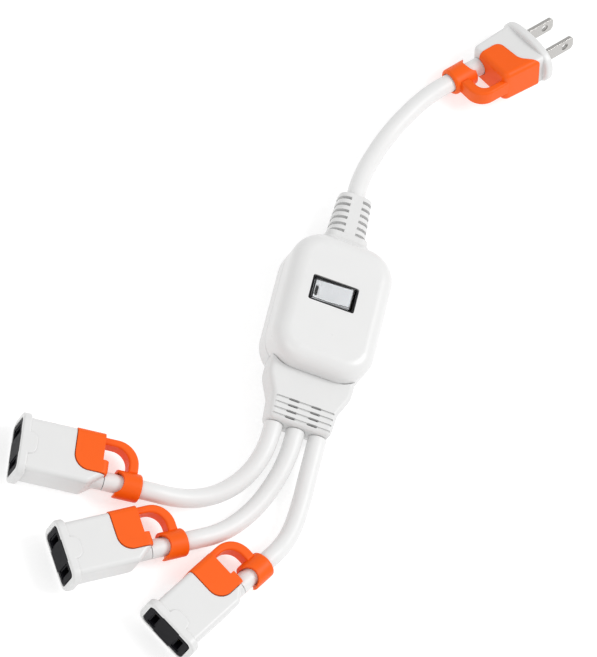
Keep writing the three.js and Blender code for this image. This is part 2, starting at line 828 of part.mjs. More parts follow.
function plugPatchOutline(grow) {
  return softPolygon([
    [-beyond, -beyond, 0],
    [-plugPatchTip + grow, -beyond, 0],
    [-plugPatchTip + grow, -plugFrontWidth / 2, 0],
    [-plugPatchFront + grow, -plugFrontWidth / 4, 4],
    [-plugPatchFront - 1 + grow, cordOffset + grow, plugPatchCorner],
    [-beyond, cordOffset + grow, 0],
  ], 5);
}

function flangeOutline() {
  const outline = new THREE.Shape();
  outline.absellipse(0, 0, plugFlangeWidth / 2, plugFlangeHeight / 2, 0, 2 * Math.PI);
  const squareness = 2.6;
  const points = outline.getPoints(28).slice(0, -1).map(({ x, y }) => {
    const across = Math.abs(x / (plugFlangeWidth / 2)) ** (2 / squareness);
    const up = Math.abs(y / (plugFlangeHeight / 2)) ** (2 / squareness);
    return [Math.sign(x) * across * plugFlangeWidth / 2, Math.sign(y) * up * plugFlangeHeight / 2];
  });
  return polygon(points);
}

function makePlugBody() {
  const outside = plugForm(0);
  const core = plugForm(-ringWall);
  const patch = slabZ(plugPatchOutline(seatGap), -beyond, beyond);
  const flange = slabX(flangeOutline(), -plugFlangeThickness, 0, 0.8);
  const pocket = slabX(
    roundedRectangle(bridgeWidth + 2 * seatGap, bridgeHeight + 2 * seatGap, bridgeCorner),
    -bridgeDepth - seatGap, 1,
  );
  const tails = [-1, 1].map((side) => bladeRoom(side, bladeTail + 2 * seatGap));
  return cut(join(cut(outside, patch), core, flange), pocket, ...tails);
}

function bladeRoom(side, reach) {
  const centre = (side * bladePitch) / 2;
  const halfThickness = bladeThickness / 2 + seatGap;
  const halfWidth = bladeWidth / 2 + seatGap;
  return block([-reach, 1], [centre - halfThickness, centre + halfThickness], [-halfWidth, halfWidth]);
}

function makePlugBridge() {
  const bridge = slabX(roundedRectangle(bridgeWidth, bridgeHeight, bridgeCorner), -bridgeDepth, 0);
  return cut(bridge, bladeRoom(-1, bridgeDepth + 1), bladeRoom(1, bridgeDepth + 1));
}

// A flat blade with cut corners at its tip and a round hole near it
function makeBlade() {
  const half = bladeWidth / 2;
  const outline = softPolygon([
    [-bladeTail, -half, 0],
    [bladeReach - bladeTipCut, -half, 0.8],
    [bladeReach, -half + bladeTipCut, 0.8],
    [bladeReach, half - bladeTipCut, 0.8],
    [bladeReach - bladeTipCut, half, 0.8],
    [-bladeTail, half, 0],
  ], 2);
  const hole = new THREE.Path();
  hole.absarc(bladeReach - bladeHoleInset, 0, bladeHoleRadius, 0, 2 * Math.PI, true);
  outline.holes.push(hole);
  return slabY(outline, -bladeThickness / 2, bladeThickness / 2, 0, { rim: 1, arc: 12 });
}

function makePlugRing() {
  const skin = plugForm(ringProud);
  const core = plugForm(seatGap - ringWall);
  const patch = slabZ(plugPatchOutline(0), -beyond, beyond);
  const bar = strap(
    -plugRearWidth / 2 - ringProud, plugStrapThickness, plugLength,
    plugCollarFront, plugCollarRear, plugLoopCorner,
  );
  const sleeve = collar(plugCollarFront, plugCollarRear);
  const bore = cordBore(plugLength - 1, plugCollarRear + 1);
  return cut(join(common(skin, patch), bar, sleeve), core, bore);
}

// The lowest point of a cross-section, given as [y, z] points, once it is rolled about the X axis
function lowest(section, roll) {
  const height = ([y, z]) => y * Math.sin(roll) + z * Math.cos(roll);
  return section.reduce((low, point) => (height(point) < height(low) ? point : low));
}

function crossSection(shape, x = 0) {
  return shape.getPoints(16).map((point) => [point.x + x, point.y]);
}

// A frame for a plug or socket that lies on the surface: its nose leans on the flange, and it tips
// back until its body's rear or its collar meets the surface
function layEnd(end, flange, pivot, supports, collarRear) {
  const roll = THREE.MathUtils.degToRad(end.roll);
  const drop = (section) => {
    const [y, z] = lowest(section, roll);
    return -(y * Math.sin(roll) + z * Math.cos(roll));
  };
  const slopes = supports.map(([back, section]) => (
    Math.atan((drop(flange) - drop(section)) / (back - pivot))
  ));
  const pitch = Math.min(...slopes);
  const frame = new THREE.Group();
  frame.rotation.set(roll, -pitch, THREE.MathUtils.degToRad(end.turn), 'ZYX');
  frame.updateMatrix();
  const entry = new THREE.Vector3(-collarRear, cordOffset, 0).applyMatrix4(frame.matrix);
  const low = new THREE.Vector3(-pivot, ...lowest(flange, roll)).applyMatrix4(frame.matrix);
  frame.position.set(end.x - entry.x, end.y - entry.y, -low.z);
  frame.updateMatrix();
  group.add(frame);
  return frame;
}

// The points of a cord from its straight exit to the face that it ends against
function cordRoute(exit, direction, run, frame, bodyEnd, collarFront, collarRear) {
  const straight = [exit[0], exit[1] + straightExit * direction, exit[2]];
  const inCollar = [collarRear + straightLead, collarRear, collarFront, bodyEnd + seatGap].map((back) => (
    new THREE.Vector3(-back, cordOffset, 0).applyMatrix4(frame.matrix).toArray()
  ));
  return [exit, straight, ...run, ...inCollar];
}

// Everything in its place
addMesh('front_shell', makeFrontShell(), whitePlastic);
addMesh('rear_shell', makeRearShell(), whitePlastic);
screwPlaces.forEach(([x, y], index) => {
  addMesh(`cover_screw_${index + 1}`, makeScrew(), zincSteel).position.set(x, y, 0);
});

addMesh('switch_body', makeSwitchBody(), blackPlastic, switchFrame);
const rocker = addMesh('rocker', makeRocker(), clearPlastic, switchFrame);
rocker.position.z = -pivotDepth;
rocker.rotation.y = -swing;
const lampX = -wellLength / 2 + lampInset;
addMesh('neon_lamp', makeLamp(), lampGlass, switchFrame).position.set(lampX, 0, floorTop + lampHeight);
const terminalNames = ['line_terminal', 'lamp_terminal', 'load_terminal'];
terminalX.forEach((x, index) => {
  addMesh(terminalNames[index], makeTerminal(), brass, switchFrame).position.x = x;
});
addMesh('bimetal_strip', makeBimetalStrip(2), brass, switchFrame);

addMesh('input_strain_relief', makeEntryMoulding(), softWhite);
addMesh('output_strain_relief', makeNeckMoulding(), softWhite);

const collarSection = crossSection(roundedRectangle(2 * collarRadius, 2 * collarRadius, collarRadius), cordOffset);
const plugFrame = layEnd(
  plugEnd, crossSection(flangeOutline()), plugFlangeThickness,
  [
    [plugLength, crossSection(roundedRectangle(plugRearWidth, plugHeight, edgeRound))],
    [plugCollarRear, collarSection],
  ],
  plugCollarRear,
);
addMesh('plug_body', makePlugBody(), whitePlastic, plugFrame);
addMesh('plug_bridge', makePlugBridge(), softWhite, plugFrame);
addMesh('plug_pull_ring', makePlugRing(), orangeRubber, plugFrame);
['plug_blade_left', 'plug_blade_right'].forEach((name, index) => {
  addMesh(name, makeBlade(), nickel, plugFrame).position.y = (index - 0.5) * bladePitch;
});

const entryFace = [0, entryTip + seatGap, cordHeight];
const plugRoute = cordRoute(
  entryFace, 1, plugRun, plugFrame, plugLength, plugCollarFront, plugCollarRear,
);
addMesh('input_cord', tube(plugRoute, cordRadius, 8, 14), softWhite);

socketEnds.forEach((end, index) => {
  const number = index + 1;
  const frame = layEnd(
    end, crossSection(roundedRectangle(socketFlangeWidth, socketFlangeHeight, socketFlangeCorner)),
    socketFlangeThickness + archReach,
    [
      [socketLength, crossSection(roundedRectangle(socketWidth, socketHeight + 2 * ringProud, edgeRound))],
      [socketCollarRear, collarSection],
    ],
    socketCollarRear,
  );
  addMesh(`socket_body_${number}`, makeSocketBody(), whitePlastic, frame);
  addMesh(`socket_face_${number}`, makeSocketInsert(), blackPlastic, frame);
  addMesh(`socket_pull_ring_${number}`, makeSocketRing(), orangeRubber, frame);
  ['left', 'right'].forEach((side, place) => {
    const name = `socket_contact_${number}_${side}`;
    addMesh(name, makeContact(), brass, frame).position.y = (place - 0.5) * bladePitch;
  });
  const exit = [(index - 1) * outletPitch, neckEnd - seatGap, cordHeight];
  const route = cordRoute(
    exit, -1, socketRuns[index], frame, socketLength, socketCollarFront, socketCollarRear,
  );
  addMesh(`output_cord_${number}`, tube(route, cordRadius, 8, 14), softWhite);
});

// Wiring inside the box
function makeBus() {
  return block([-busLength / 2, busLength / 2], [-busWidth / 2, busWidth / 2], [0, busThickness]);
}
addMesh('live_bus', makeBus(), brass).position.set(0, liveBusY, busBottom);
addMesh('neutral_bus', makeBus(), brass).position.set(0, neutralBusY, busBottom);

function addWire(name, route, finish) {
  addMesh(name, tube(route, wireRadius, 8, 8), finish);
}

const [lineX, lampTerminalX, loadX] = terminalX.map((x) => windowX + x);
const terminalReach = bladeTerminalWidth / 2 + seatGap;
const terminalZ = boxHeight + switchBottom - bladeTerminalLength / 2;
const entryWireY = entryInside - seatGap;
const neckWireY = neckInside + seatGap;
const nearNeutral = neutralBusY + busWidth / 4;
const farNeutral = neutralBusY - busWidth / 4;
const liveLift = cordHeight - 1.3;
const neutralLift = cordHeight + 1.1;

addWire('input_live_wire', [
  [-3.5, entryWireY, liveLift],
  [-3.5, entryWireY - 1.5, liveLift],
  [-insideX / 4, insideY * 0.66, cordHeight * 0.81],
  [-insideX * 0.35, insideY * 0.475, terminalZ + 0.4],
  [lineX, windowY + 6, terminalZ],
  [lineX, windowY + terminalReach, terminalZ],
], brownWire);
addWire('input_neutral_wire', [
  [3.5, entryWireY, neutralLift],
  [3.5, entryWireY - 1.5, neutralLift],
  [insideX * 0.36, insideY * 0.64, cordHeight * 0.84],
  [insideX * 0.61, insideY * 0.42, cordHeight * 0.56],
  [insideX * 0.69, windowY, wireHeight],
  [insideX * 0.55, neutralBusY + 5.5, wireHeight],
  [insideX * 0.34, neutralBusY + 1.9, wireHeight],
  [insideX * 0.26, nearNeutral, wireHeight],
], blueWire);
addWire('lamp_wire', [
  [lampTerminalX, windowY - terminalReach, terminalZ],
  [lampTerminalX, windowY - 6, terminalZ - 0.4],
  [lampTerminalX, neutralBusY + 2.9, wireHeight],
  [lampTerminalX, nearNeutral, wireHeight],
], blueWire);
addWire('load_wire', [
  [loadX, windowY - terminalReach, terminalZ],
  [loadX, windowY - 7, terminalZ + 0.3],
  [wirePitch / 2, neutralBusY, cordHeight * 0.7],
  [wirePitch / 2, liveBusY + 2.9, wireHeight + 1],
  [wirePitch / 2, liveBusY, wireHeight],
], brownWire);
socketEnds.forEach((end, index) => {
  const middle = (index - 1) * wirePitch;
  const liveX = middle - corePitch / 2;
  const neutralX = middle + corePitch / 2;
  addWire(`output_live_wire_${index + 1}`, [
    [liveX, neckWireY, liveLift],
    [liveX, neckWireY + 1.2, liveLift],
    [liveX, neckWireY + 4.6, wireHeight + 1],
    [liveX, liveBusY, wireHeight],
  ], brownWire);
  addWire(`output_neutral_wire_${index + 1}`, [
    [neutralX, neckWireY, neutralLift],
    [neutralX, neckWireY + 1.2, neutralLift],
    [neutralX, neckWireY + 3.8, neutralLift - 0.8],
    [neutralX, neckWireY + 8, neutralLift - 2.8],
    [neutralX, farNeutral - 1.6, wireHeight + 0.8],
    [neutralX, farNeutral, wireHeight],
  ], blueWire);
});

export default group;
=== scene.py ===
"""Looks of the power cord splitter: smooth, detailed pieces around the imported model."""

import math

import bmesh
import bpy
from mathutils import Matrix, Vector


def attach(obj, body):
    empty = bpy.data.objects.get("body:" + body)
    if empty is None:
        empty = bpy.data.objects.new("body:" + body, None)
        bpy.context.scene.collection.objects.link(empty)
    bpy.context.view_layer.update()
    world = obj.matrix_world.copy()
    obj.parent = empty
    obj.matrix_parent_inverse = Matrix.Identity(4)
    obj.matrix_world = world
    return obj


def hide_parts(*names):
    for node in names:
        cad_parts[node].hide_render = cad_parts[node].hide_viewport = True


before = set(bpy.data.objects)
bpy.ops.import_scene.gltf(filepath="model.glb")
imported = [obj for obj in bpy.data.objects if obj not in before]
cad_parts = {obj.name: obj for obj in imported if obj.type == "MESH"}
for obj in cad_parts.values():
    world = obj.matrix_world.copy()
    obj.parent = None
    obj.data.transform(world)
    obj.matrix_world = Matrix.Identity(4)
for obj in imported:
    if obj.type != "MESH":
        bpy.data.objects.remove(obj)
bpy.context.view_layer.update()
MM = 0.001


# Camera: the photograph's direction, scale and turn of the object in the picture
PIXELS_PER_MM = 2.58
IMAGE_WIDTH, IMAGE_HEIGHT = 597, 657
CAMERA_TILT = math.radians(28)
PICTURE_TURN = math.radians(50)
BOX_TURN = math.radians(75.5)
ANCHOR = Vector((-8.3, -2.4, 25.0))
ANCHOR_PIXEL = (315.5, 300.5)
CAMERA_DISTANCE = 2000.0
AIM_HEIGHT = 10.0
SENSOR_WIDTH = 36.0


def camera_axes():
    """The picture's right and up vectors and the direction to the camera, in the object's frame."""
    turned = BOX_TURN - PICTURE_TURN
    slant = math.atan2(math.sin(turned) * math.cos(CAMERA_TILT), math.cos(turned))
    heading = math.pi / 2 - slant
    ahead = Vector((math.cos(heading), math.sin(heading), 0))
    across = Vector((math.sin(heading), -math.cos(heading), 0))
    rise = ahead * math.cos(CAMERA_TILT) + Vector((0, 0, math.sin(CAMERA_TILT)))
    toward = -ahead * math.sin(CAMERA_TILT) + Vector((0, 0, math.cos(CAMERA_TILT)))
    c, s = math.cos(PICTURE_TURN), math.sin(PICTURE_TURN)
    right = rise * c + across * math.cos(PICTURE_TURN - math.pi / 2)
    up = rise * s + across * math.sin(PICTURE_TURN - math.pi / 2)
    return right, up, toward


def make_camera():
    right, up, toward = camera_axes()
    dx = (IMAGE_WIDTH / 2 - ANCHOR_PIXEL[0]) / PIXELS_PER_MM
    dy = -(IMAGE_HEIGHT / 2 - ANCHOR_PIXEL[1]) / PIXELS_PER_MM
    centre = ANCHOR + right * dx + up * dy
    centre -= toward * ((centre.z - AIM_HEIGHT) / toward.z)
    place = (centre + toward * CAMERA_DISTANCE) * MM
    data = bpy.data.cameras.new("photo_camera")
    data.sensor_fit = "HORIZONTAL"
    data.sensor_width = SENSOR_WIDTH
    data.lens = SENSOR_WIDTH * CAMERA_DISTANCE * PIXELS_PER_MM / IMAGE_WIDTH
    data.clip_end = 20.0
    camera = bpy.data.objects.new("photo_camera", data)
    bpy.context.scene.collection.objects.link(camera)
    basis = Matrix((right, up, toward)).transposed().to_4x4()
    camera.matrix_world = Matrix.Translation(place) @ basis
    bpy.context.scene.camera = camera


make_camera()


# Procedural materials
MOTTLE_SCALE, GLOSS_SCALE = 140.0, 420.0


def shader(name, colour, roughness, metallic=0.0, grain=3000.0, bump=0.02, mottle=0.015,
           uneven=0.05, stretch=(1, 1, 1), transmission=0.0, ior=1.5, specular=0.5, glow=0.0):
    """A surface with a fine grain, a faint mottle in its colour and an uneven gloss."""
    material = bpy.data.materials.new(name)
    material.use_nodes = True
    nodes, links = material.node_tree.nodes, material.node_tree.links
    principled = nodes["Principled BSDF"]
    principled.inputs["Metallic"].default_value = metallic
    principled.inputs["IOR"].default_value = ior
    principled.inputs["Transmission Weight"].default_value = transmission
    principled.inputs["Specular IOR Level"].default_value = specular
    principled.inputs["Emission Color"].default_value = (1, 1, 1, 1)
    principled.inputs["Emission Strength"].default_value = glow
    place = nodes.new("ShaderNodeTexCoord")
    mapping = nodes.new("ShaderNodeMapping")
    mapping.inputs["Scale"].default_value = stretch
    links.new(place.outputs["Object"], mapping.inputs["Vector"])

    def noise(scale, detail):
        node = nodes.new("ShaderNodeTexNoise")
        node.inputs["Scale"].default_value = scale
        node.inputs["Detail"].default_value = detail
        links.new(mapping.outputs["Vector"], node.inputs["Vector"])
        return node.outputs["Fac"]

    tint = nodes.new("ShaderNodeMix")
    tint.data_type = "RGBA"
    tint.inputs["A"].default_value = (*[max(0.0, c * (1 - mottle)) for c in colour], 1)
    tint.inputs["B"].default_value = (*[min(1.0, c * (1 + mottle)) for c in colour], 1)
    links.new(noise(MOTTLE_SCALE, 3.0), tint.inputs["Factor"])
    links.new(tint.outputs["Result"], principled.inputs["Base Color"])
    gloss = nodes.new("ShaderNodeMapRange")
    gloss.inputs["To Min"].default_value = roughness - uneven
    gloss.inputs["To Max"].default_value = roughness + uneven
    links.new(noise(GLOSS_SCALE, 2.0), gloss.inputs["Value"])
    links.new(gloss.outputs["Result"], principled.inputs["Roughness"])
    height = nodes.new("ShaderNodeBump")
    height.inputs["Strength"].default_value = 1.0
    height.inputs["Distance"].default_value = bump * MM
    links.new(noise(grain, 2.0), height.inputs["Height"])
    links.new(height.outputs["Normal"], principled.inputs["Normal"])
    return material


WHITE_SHELL = shader("white_shell", (0.72, 0.72, 0.717), 0.3, bump=0.006)
WHITE_MOULDING = shader("white_moulding", (0.70, 0.70, 0.697), 0.36, bump=0.01)
SOFT_WHITE = shader("soft_white", (0.69, 0.69, 0.687), 0.46, grain=1800, bump=0.014)
CORD_WHITE = shader("cord_sheath", (0.74, 0.74, 0.737), 0.42, grain=1400, bump=0.016)
ORANGE = shader("orange_ring", (0.86, 0.11, 0.004), 0.42, grain=2400, bump=0.012, mottle=0.03,
                specular=0.22)
BLACK_INSERT = shader("black_insert", (0.004, 0.004, 0.006), 0.5, bump=0.015, mottle=0.1,
                      specular=0.08)
BLACK_SWITCH = shader("black_switch", (0.006, 0.006, 0.008), 0.42, bump=0.01, mottle=0.1,
                      specular=0.25)
NICKEL = shader("nickel_blade", (0.50, 0.49, 0.475), 0.24, 1.0, grain=900, bump=0.006,
                stretch=(1, 1, 12), uneven=0.08)
BRASS = shader("brass_parts", (0.62, 0.40, 0.12), 0.3, 1.0, grain=1500, bump=0.01, uneven=0.1)
ZINC = shader("zinc_screw", (0.52, 0.53, 0.54), 0.34, 1.0, grain=1500, bump=0.01, uneven=0.1)
BROWN = shader("brown_wire", (0.15, 0.045, 0.015), 0.45, bump=0.01, mottle=0.06)
BLUE = shader("blue_wire", (0.025, 0.12, 0.42), 0.45, bump=0.01, mottle=0.06)
CLEAR = shader("clear_rocker", (0.93, 0.94, 0.95), 0.07, transmission=1.0, ior=1.49, bump=0.004,
               uneven=0.03)
# The reflector's glow is painted light: the plate is no lamp, and the glow brightens it in place of light
# it loses under the clear cap.
FROSTED_PAINTED_GLOW = shader("frosted_reflector_painted_glow", (0.88, 0.89, 0.90), 0.4, bump=0.03, mottle=0.08, glow=0.22)
GLASS = shader("lamp_glass", (0.98, 0.95, 0.92), 0.05, transmission=1.0, ior=1.47, bump=0.002,
               uneven=0.02)
ELECTRODE = shader("lamp_electrode", (0.66, 0.65, 0.63), 0.3, 1.0, bump=0.01)


# Mesh kit, in millimetres
DOUBLED, MERGED = 0.001, 0.004
FLAT_ANGLE, EASE_ANGLE, SMOOTH_ANGLE = 0.6, 28.0, 32.0


def linked(name, mesh):
    piece = bpy.data.objects.new(name, mesh)
    bpy.context.scene.collection.objects.link(piece)
    return piece


def rounded_rectangle(width, height, corner, x=0.0, y=0.0, steps=10):
    radius = min(corner, width / 2 - DOUBLED, height / 2 - DOUBLED)
    right, top = width / 2 - radius, height / 2 - radius
    points = []
    for quarter, (sx, sy) in enumerate(((1, 1), (-1, 1), (-1, -1), (1, -1))):
        for step in range(steps + 1):
            a = (quarter + step / steps) * math.pi / 2
            points.append((x + sx * right + radius * math.cos(a), y + sy * top + radius * math.sin(a)))
    return points


def circle(radius, sides=48, x=0.0, y=0.0):
    turn = 2 * math.pi / sides
    return [(x + radius * math.cos(i * turn), y + radius * math.sin(i * turn)) for i in range(sides)]


def ellipse(a, b, squareness=2.0, sides=96):
    """An ellipse, or with more squareness an oval that fills its corners."""
    points = []
    for i in range(sides):
        t = 2 * math.pi * i / sides
        c, s = math.cos(t), math.sin(t)
        points.append((math.copysign(abs(c) ** (2 / squareness), c) * a,
                       math.copysign(abs(s) ** (2 / squareness), s) * b))
    return points


def soft_polygon(corners, steps=10):
    """A polygon, its corners each rounded by their own radius, given as (x, y, radius)."""
    points = []
    for i, (x, y, radius) in enumerate(corners):
        here = Vector((x, y))
        if not radius:
            points.append((x, y))
            continue
        before, after = corners[i - 1], corners[(i + 1) % len(corners)]
        inward = (Vector(before[:2]) - here).normalized()
        outward = (Vector(after[:2]) - here).normalized()
        half = math.acos(max(-1.0, min(1.0, inward.dot(outward)))) / 2
        reach = radius / math.tan(half)
        start, end = here + inward * reach, here + outward * reach
        centre = here + (inward + outward).normalized() * (radius / math.sin(half))
        a0 = math.atan2(start.y - centre.y, start.x - centre.x)
        sweep = math.atan2(end.y - centre.y, end.x - centre.x) - a0
        sweep -= 2 * math.pi * round(sweep / (2 * math.pi))
        for step in range(steps + 1):
            a = a0 + sweep * step / steps
            points.append((centre.x + radius * math.cos(a), centre.y + radius * math.sin(a)))
    return points


def signed_area(points):
    return sum(a[0] * b[1] - b[0] * a[1] for a, b in zip(points, points[1:] + points[:1])) / 2


def clean(points):
    """The outline counter-clockwise, without doubled points."""
    kept = [p for p, q in zip(points, points[-1:] + points[:-1]) if math.dist(p, q) > DOUBLED]
    return kept if signed_area(kept) > 0 else kept[::-1]


def offset(points, inset):
    """The outline brought in by the inset."""
    if not inset:
        return points
    shifted = []
    count = len(points)
    for i, (x, y) in enumerate(points):
        before, after = points[i - 1], points[(i + 1) % count]
        e0 = Vector((x - before[0], y - before[1])).normalized()
        e1 = Vector((after[0] - x, after[1] - y)).normalized()
        n0, n1 = Vector((-e0.y, e0.x)), Vector((-e1.y, e1.x))
        bisector = (n0 + n1).normalized()
        step = inset / max(0.3, bisector.dot(n0))
        shifted.append((x + bisector.x * step, y + bisector.y * step))
    return shifted


AXES = {
    "Z": Matrix.Identity(3),
    "X": Matrix(((0, 0, 1), (1, 0, 0), (0, 1, 0))),
    "Y": Matrix(((1, 0, 0), (0, 0, -1), (0, 1, 0))),
}


def loft(rings, axis="Z"):
    """A closed solid through rings of (u, v, w) points, all with the same count."""
    count = len(rings[0])
    turned = AXES[axis]
    verts = [turned @ Vector(p) for ring in rings for p in ring]
    faces = []
    for r in range(len(rings) - 1):
        for i in range(count):
            j = (i + 1) % count
            faces.append((r * count + i, r * count + j, (r + 1) * count + j, (r + 1) * count + i))
    faces.append(tuple(range(count))[::-1])
    faces.append(tuple(range((len(rings) - 1) * count, len(rings) * count)))
    mesh = bpy.data.meshes.new("form")
    mesh.from_pydata(verts, [], faces)
    return linked("form", mesh)


def slab(points, low, high, round_low=0.0, round_high=None, axis="Z", steps=6):
    """An extruded outline with rounded rims. Along Y the outline's second axis becomes +Z."""
    round_high = round_low if round_high is None else round_high
    if axis == "Y":
        low, high, round_low, round_high = -high, -low, round_high, round_low
    outline = clean(points)
    rings = []
    for k in range(steps + 1 if round_low else 1):
        a = k / steps * math.pi / 2 if round_low else math.pi / 2
        inset = round_low * (1 - math.sin(a))
        w = low + round_low * (1 - math.cos(a)) if round_low else low
        rings.append([(u, v, w) for u, v in offset(outline, inset)])
    for k in range(steps if round_high else 0, -1 if round_high else 0, -1):
        a = k / steps * math.pi / 2
        inset = round_high * (1 - math.sin(a))
        rings.append([(u, v, high - round_high * (1 - math.cos(a))) for u, v in offset(outline, inset)])
    if not round_high:
        rings.append([(u, v, high) for u, v in outline])
    return loft(rings, axis)


def block(x, y, z):
    return slab([(x[0], y[0]), (x[1], y[0]), (x[1], y[1]), (x[0], y[1])], z[0], z[1])


def tapered(y0, y1, size0, size1, corner, centre_z, steps=8):
    """A straight run along +Y between two rounded rectangles."""
    rings = []
    for y, (width, depth) in ((y1, size1), (y0, size0)):
        outline = clean(rounded_rectangle(width, depth, corner * width / size0[0], 0, centre_z, steps))
        rings.append([(u, v, -y) for u, v in outline])
    return loft(rings, "Y")


def settled(piece):
    """The piece with its modifiers made real."""
    graph = bpy.context.evaluated_depsgraph_get()
    graph.update()
    mesh = bpy.data.meshes.new_from_object(piece.evaluated_get(graph))
    piece.modifiers.clear()
    old, piece.data = piece.data, mesh
    bpy.data.meshes.remove(old)
    return piece


def combine(piece, tools, operation):
    for tool in tools:
        modifier = piece.modifiers.new("combine", "BOOLEAN")
        modifier.operation = operation
        modifier.solver = "MANIFOLD"
        modifier.object = tool
        settled(piece)
        old = tool.data
        bpy.data.objects.remove(tool)
        bpy.data.meshes.remove(old)
    return piece


def join(piece, *tools):
    return combine(piece, tools, "UNION")


def cut(piece, *tools):
    return combine(piece, tools, "DIFFERENCE")


def common(piece, *tools):
    return combine(piece, tools, "INTERSECT")


def copied(piece):
    return linked("form", piece.data.copy())


def moved(piece, x=0.0, y=0.0, z=0.0):
    piece.data.transform(Matrix.Translation((x, y, z)))
    return piece


def eased(piece, width, steps=2):
    """Every sharp edge of the piece rounded a little."""
    shape = bmesh.new()
    shape.from_mesh(piece.data)
    bmesh.ops.remove_doubles(shape, verts=shape.verts, dist=MERGED)
    bmesh.ops.dissolve_limit(shape, angle_limit=math.radians(FLAT_ANGLE), verts=shape.verts,
                             edges=shape.edges, delimit=set())
    shape.to_mesh(piece.data)
    shape.free()
    modifier = piece.modifiers.new("ease", "BEVEL")
    modifier.width = width
    modifier.segments = steps
    modifier.limit_method = "ANGLE"
    modifier.angle_limit = math.radians(EASE_ANGLE)
    modifier.miter_outer = "MITER_ARC"
    modifier.use_clamp_overlap = True
    return settled(piece)


def finished(piece, name, material, nodes, body="splitter", place=None):
    """The piece smoothed, brought to its place in metres, given its finish and its body."""
    if place is not None:
        piece.data.transform(place)
    piece.data.transform(Matrix.Scale(MM, 4))
    for face in piece.data.polygons:
        face.use_smooth = True
    piece.data.set_sharp_from_angle(angle=math.radians(SMOOTH_ANGLE))
    modifier = piece.modifiers.new("normals", "WEIGHTED_NORMAL")
    modifier.keep_sharp = True
    settled(piece)
    piece.name = piece.data.name = name
    piece.data.materials.clear()
    piece.data.materials.append(material)
    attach(piece, body)
    if nodes:
        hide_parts(*nodes)
    return piece


# Sizes, in millimetres
GAP = 0.3
BEYOND = 100.0
EVERYWHERE = (-BEYOND, BEYOND)
CORD_RADIUS = 3.7
CORD_HEIGHT = 10.0
BOX_WIDTH, BOX_LENGTH, BOX_HEIGHT, BOX_CORNER = 42.0, 57.0, 25.0, 13.0
BOX_END = BOX_LENGTH / 2
FRONT_ROUND, BACK_ROUND, PARTING_ROUND, INNER_ROUND = 6.5, 2.5, 0.25, 0.8
WALL = 2.2
SHELL_EASE = 0.22
SCREW_PLACES = [(sx * 13.85, sy * 19.5) for sy in (-1, 1) for sx in (-1, 1)]
PILLAR_RADIUS, PILLAR_FOOT = 2.8, 0.3
PILOT_RADIUS, PILOT_DEPTH = 1.4, 5.5
SCREW_WELL_RADIUS, SCREW_WELL_DEPTH = 2.5, 2.2
WINDOW_X, WINDOW_Y = -2.0, 3.0
WINDOW_LENGTH, WINDOW_WIDTH, WINDOW_CORNER = 19.0, 10.8, 0.8
ENTRY_TONGUE, NECK_TONGUE = (14, 12.6, 2), (27, 12, 3)


def around(centre, half):
    return (centre - half, centre + half)


def end_outline(size, grow=0.0):
    """A rounded rectangle of (width, height, corner) around the cords' height."""
    width, height, corner = size
    return rounded_rectangle(width + 2 * grow, height + 2 * grow, corner, 0, CORD_HEIGHT)


def box_solid(inset, low, high, round_low, round_high):
    """The box's outline, brought in by inset, from one height to another."""
    outline = rounded_rectangle(
        BOX_WIDTH - 2 * inset, BOX_LENGTH - 2 * inset, BOX_CORNER - inset, steps=16)
    return slab(outline, low, high, round_low, round_high, steps=10)


def end_openings():
    """What the two strain reliefs take out of the box's ends."""
    return [
        slab(end_outline(ENTRY_TONGUE, GAP), BOX_END - 2 * WALL - BOX_CORNER, BOX_END + BOX_CORNER,
             axis="Y"),
        slab(end_outline(NECK_TONGUE, GAP), -BOX_END - BOX_CORNER, -BOX_END + 2 * WALL, axis="Y"),
    ]


# Box
def make_front_shell():
    low = CORD_HEIGHT + GAP / 2
    shell = box_solid(0, low, BOX_HEIGHT, PARTING_ROUND, FRONT_ROUND)
    shell = cut(shell, box_solid(WALL, -1, BOX_HEIGHT - WALL, 0, FRONT_ROUND - WALL))
    for x, y in SCREW_PLACES:
        pillar = slab(circle(PILLAR_RADIUS, 24, x, y), low, BOX_HEIGHT - WALL + PILLAR_FOOT)
        pilot = slab(circle(PILOT_RADIUS, 24, x, y), 0, CORD_HEIGHT + PILOT_DEPTH)
        shell = cut(join(shell, pillar), pilot)
    window = rounded_rectangle(WINDOW_LENGTH, WINDOW_WIDTH, WINDOW_CORNER, WINDOW_X, WINDOW_Y, 6)
    shell = cut(shell, slab(window, BOX_HEIGHT - 2 * WALL, BOX_HEIGHT + WALL), *end_openings())
    return eased(shell, SHELL_EASE)


def make_rear_shell():
    high = CORD_HEIGHT - GAP / 2
    shell = box_solid(0, 0, high, BACK_ROUND, PARTING_ROUND)
    shell = cut(shell, box_solid(WALL, WALL, CORD_HEIGHT + 5, INNER_ROUND, 0))
    for x, y in SCREW_PLACES:
        pillar = slab(circle(PILLAR_RADIUS, 24, x, y), WALL / 2, high)
        pilot = slab(circle(PILOT_RADIUS, 24, x, y), -1, CORD_HEIGHT + 1)
        well = slab(circle(SCREW_WELL_RADIUS, 32, x, y), -1, SCREW_WELL_DEPTH)
        shell = cut(join(shell, pillar), pilot, well)
    return eased(cut(shell, *end_openings()), SHELL_EASE)


finished(make_front_shell(), "box_front", WHITE_SHELL, ["front_shell"])
finished(make_rear_shell(), "box_back", WHITE_SHELL, ["rear_shell"])


# Screws, driven in from the back
HEAD_RADIUS, HEAD_LOW, HEAD_TOP = 2.2, 0.3, 1.9
SHANK_RADIUS, SHANK_START, SHANK_TIP = 1.1, 1.6, 15.15
CROSS_REACH, CROSS_HALF_WIDTH, CROSS_TOP = 1.5, 0.35, 1.1


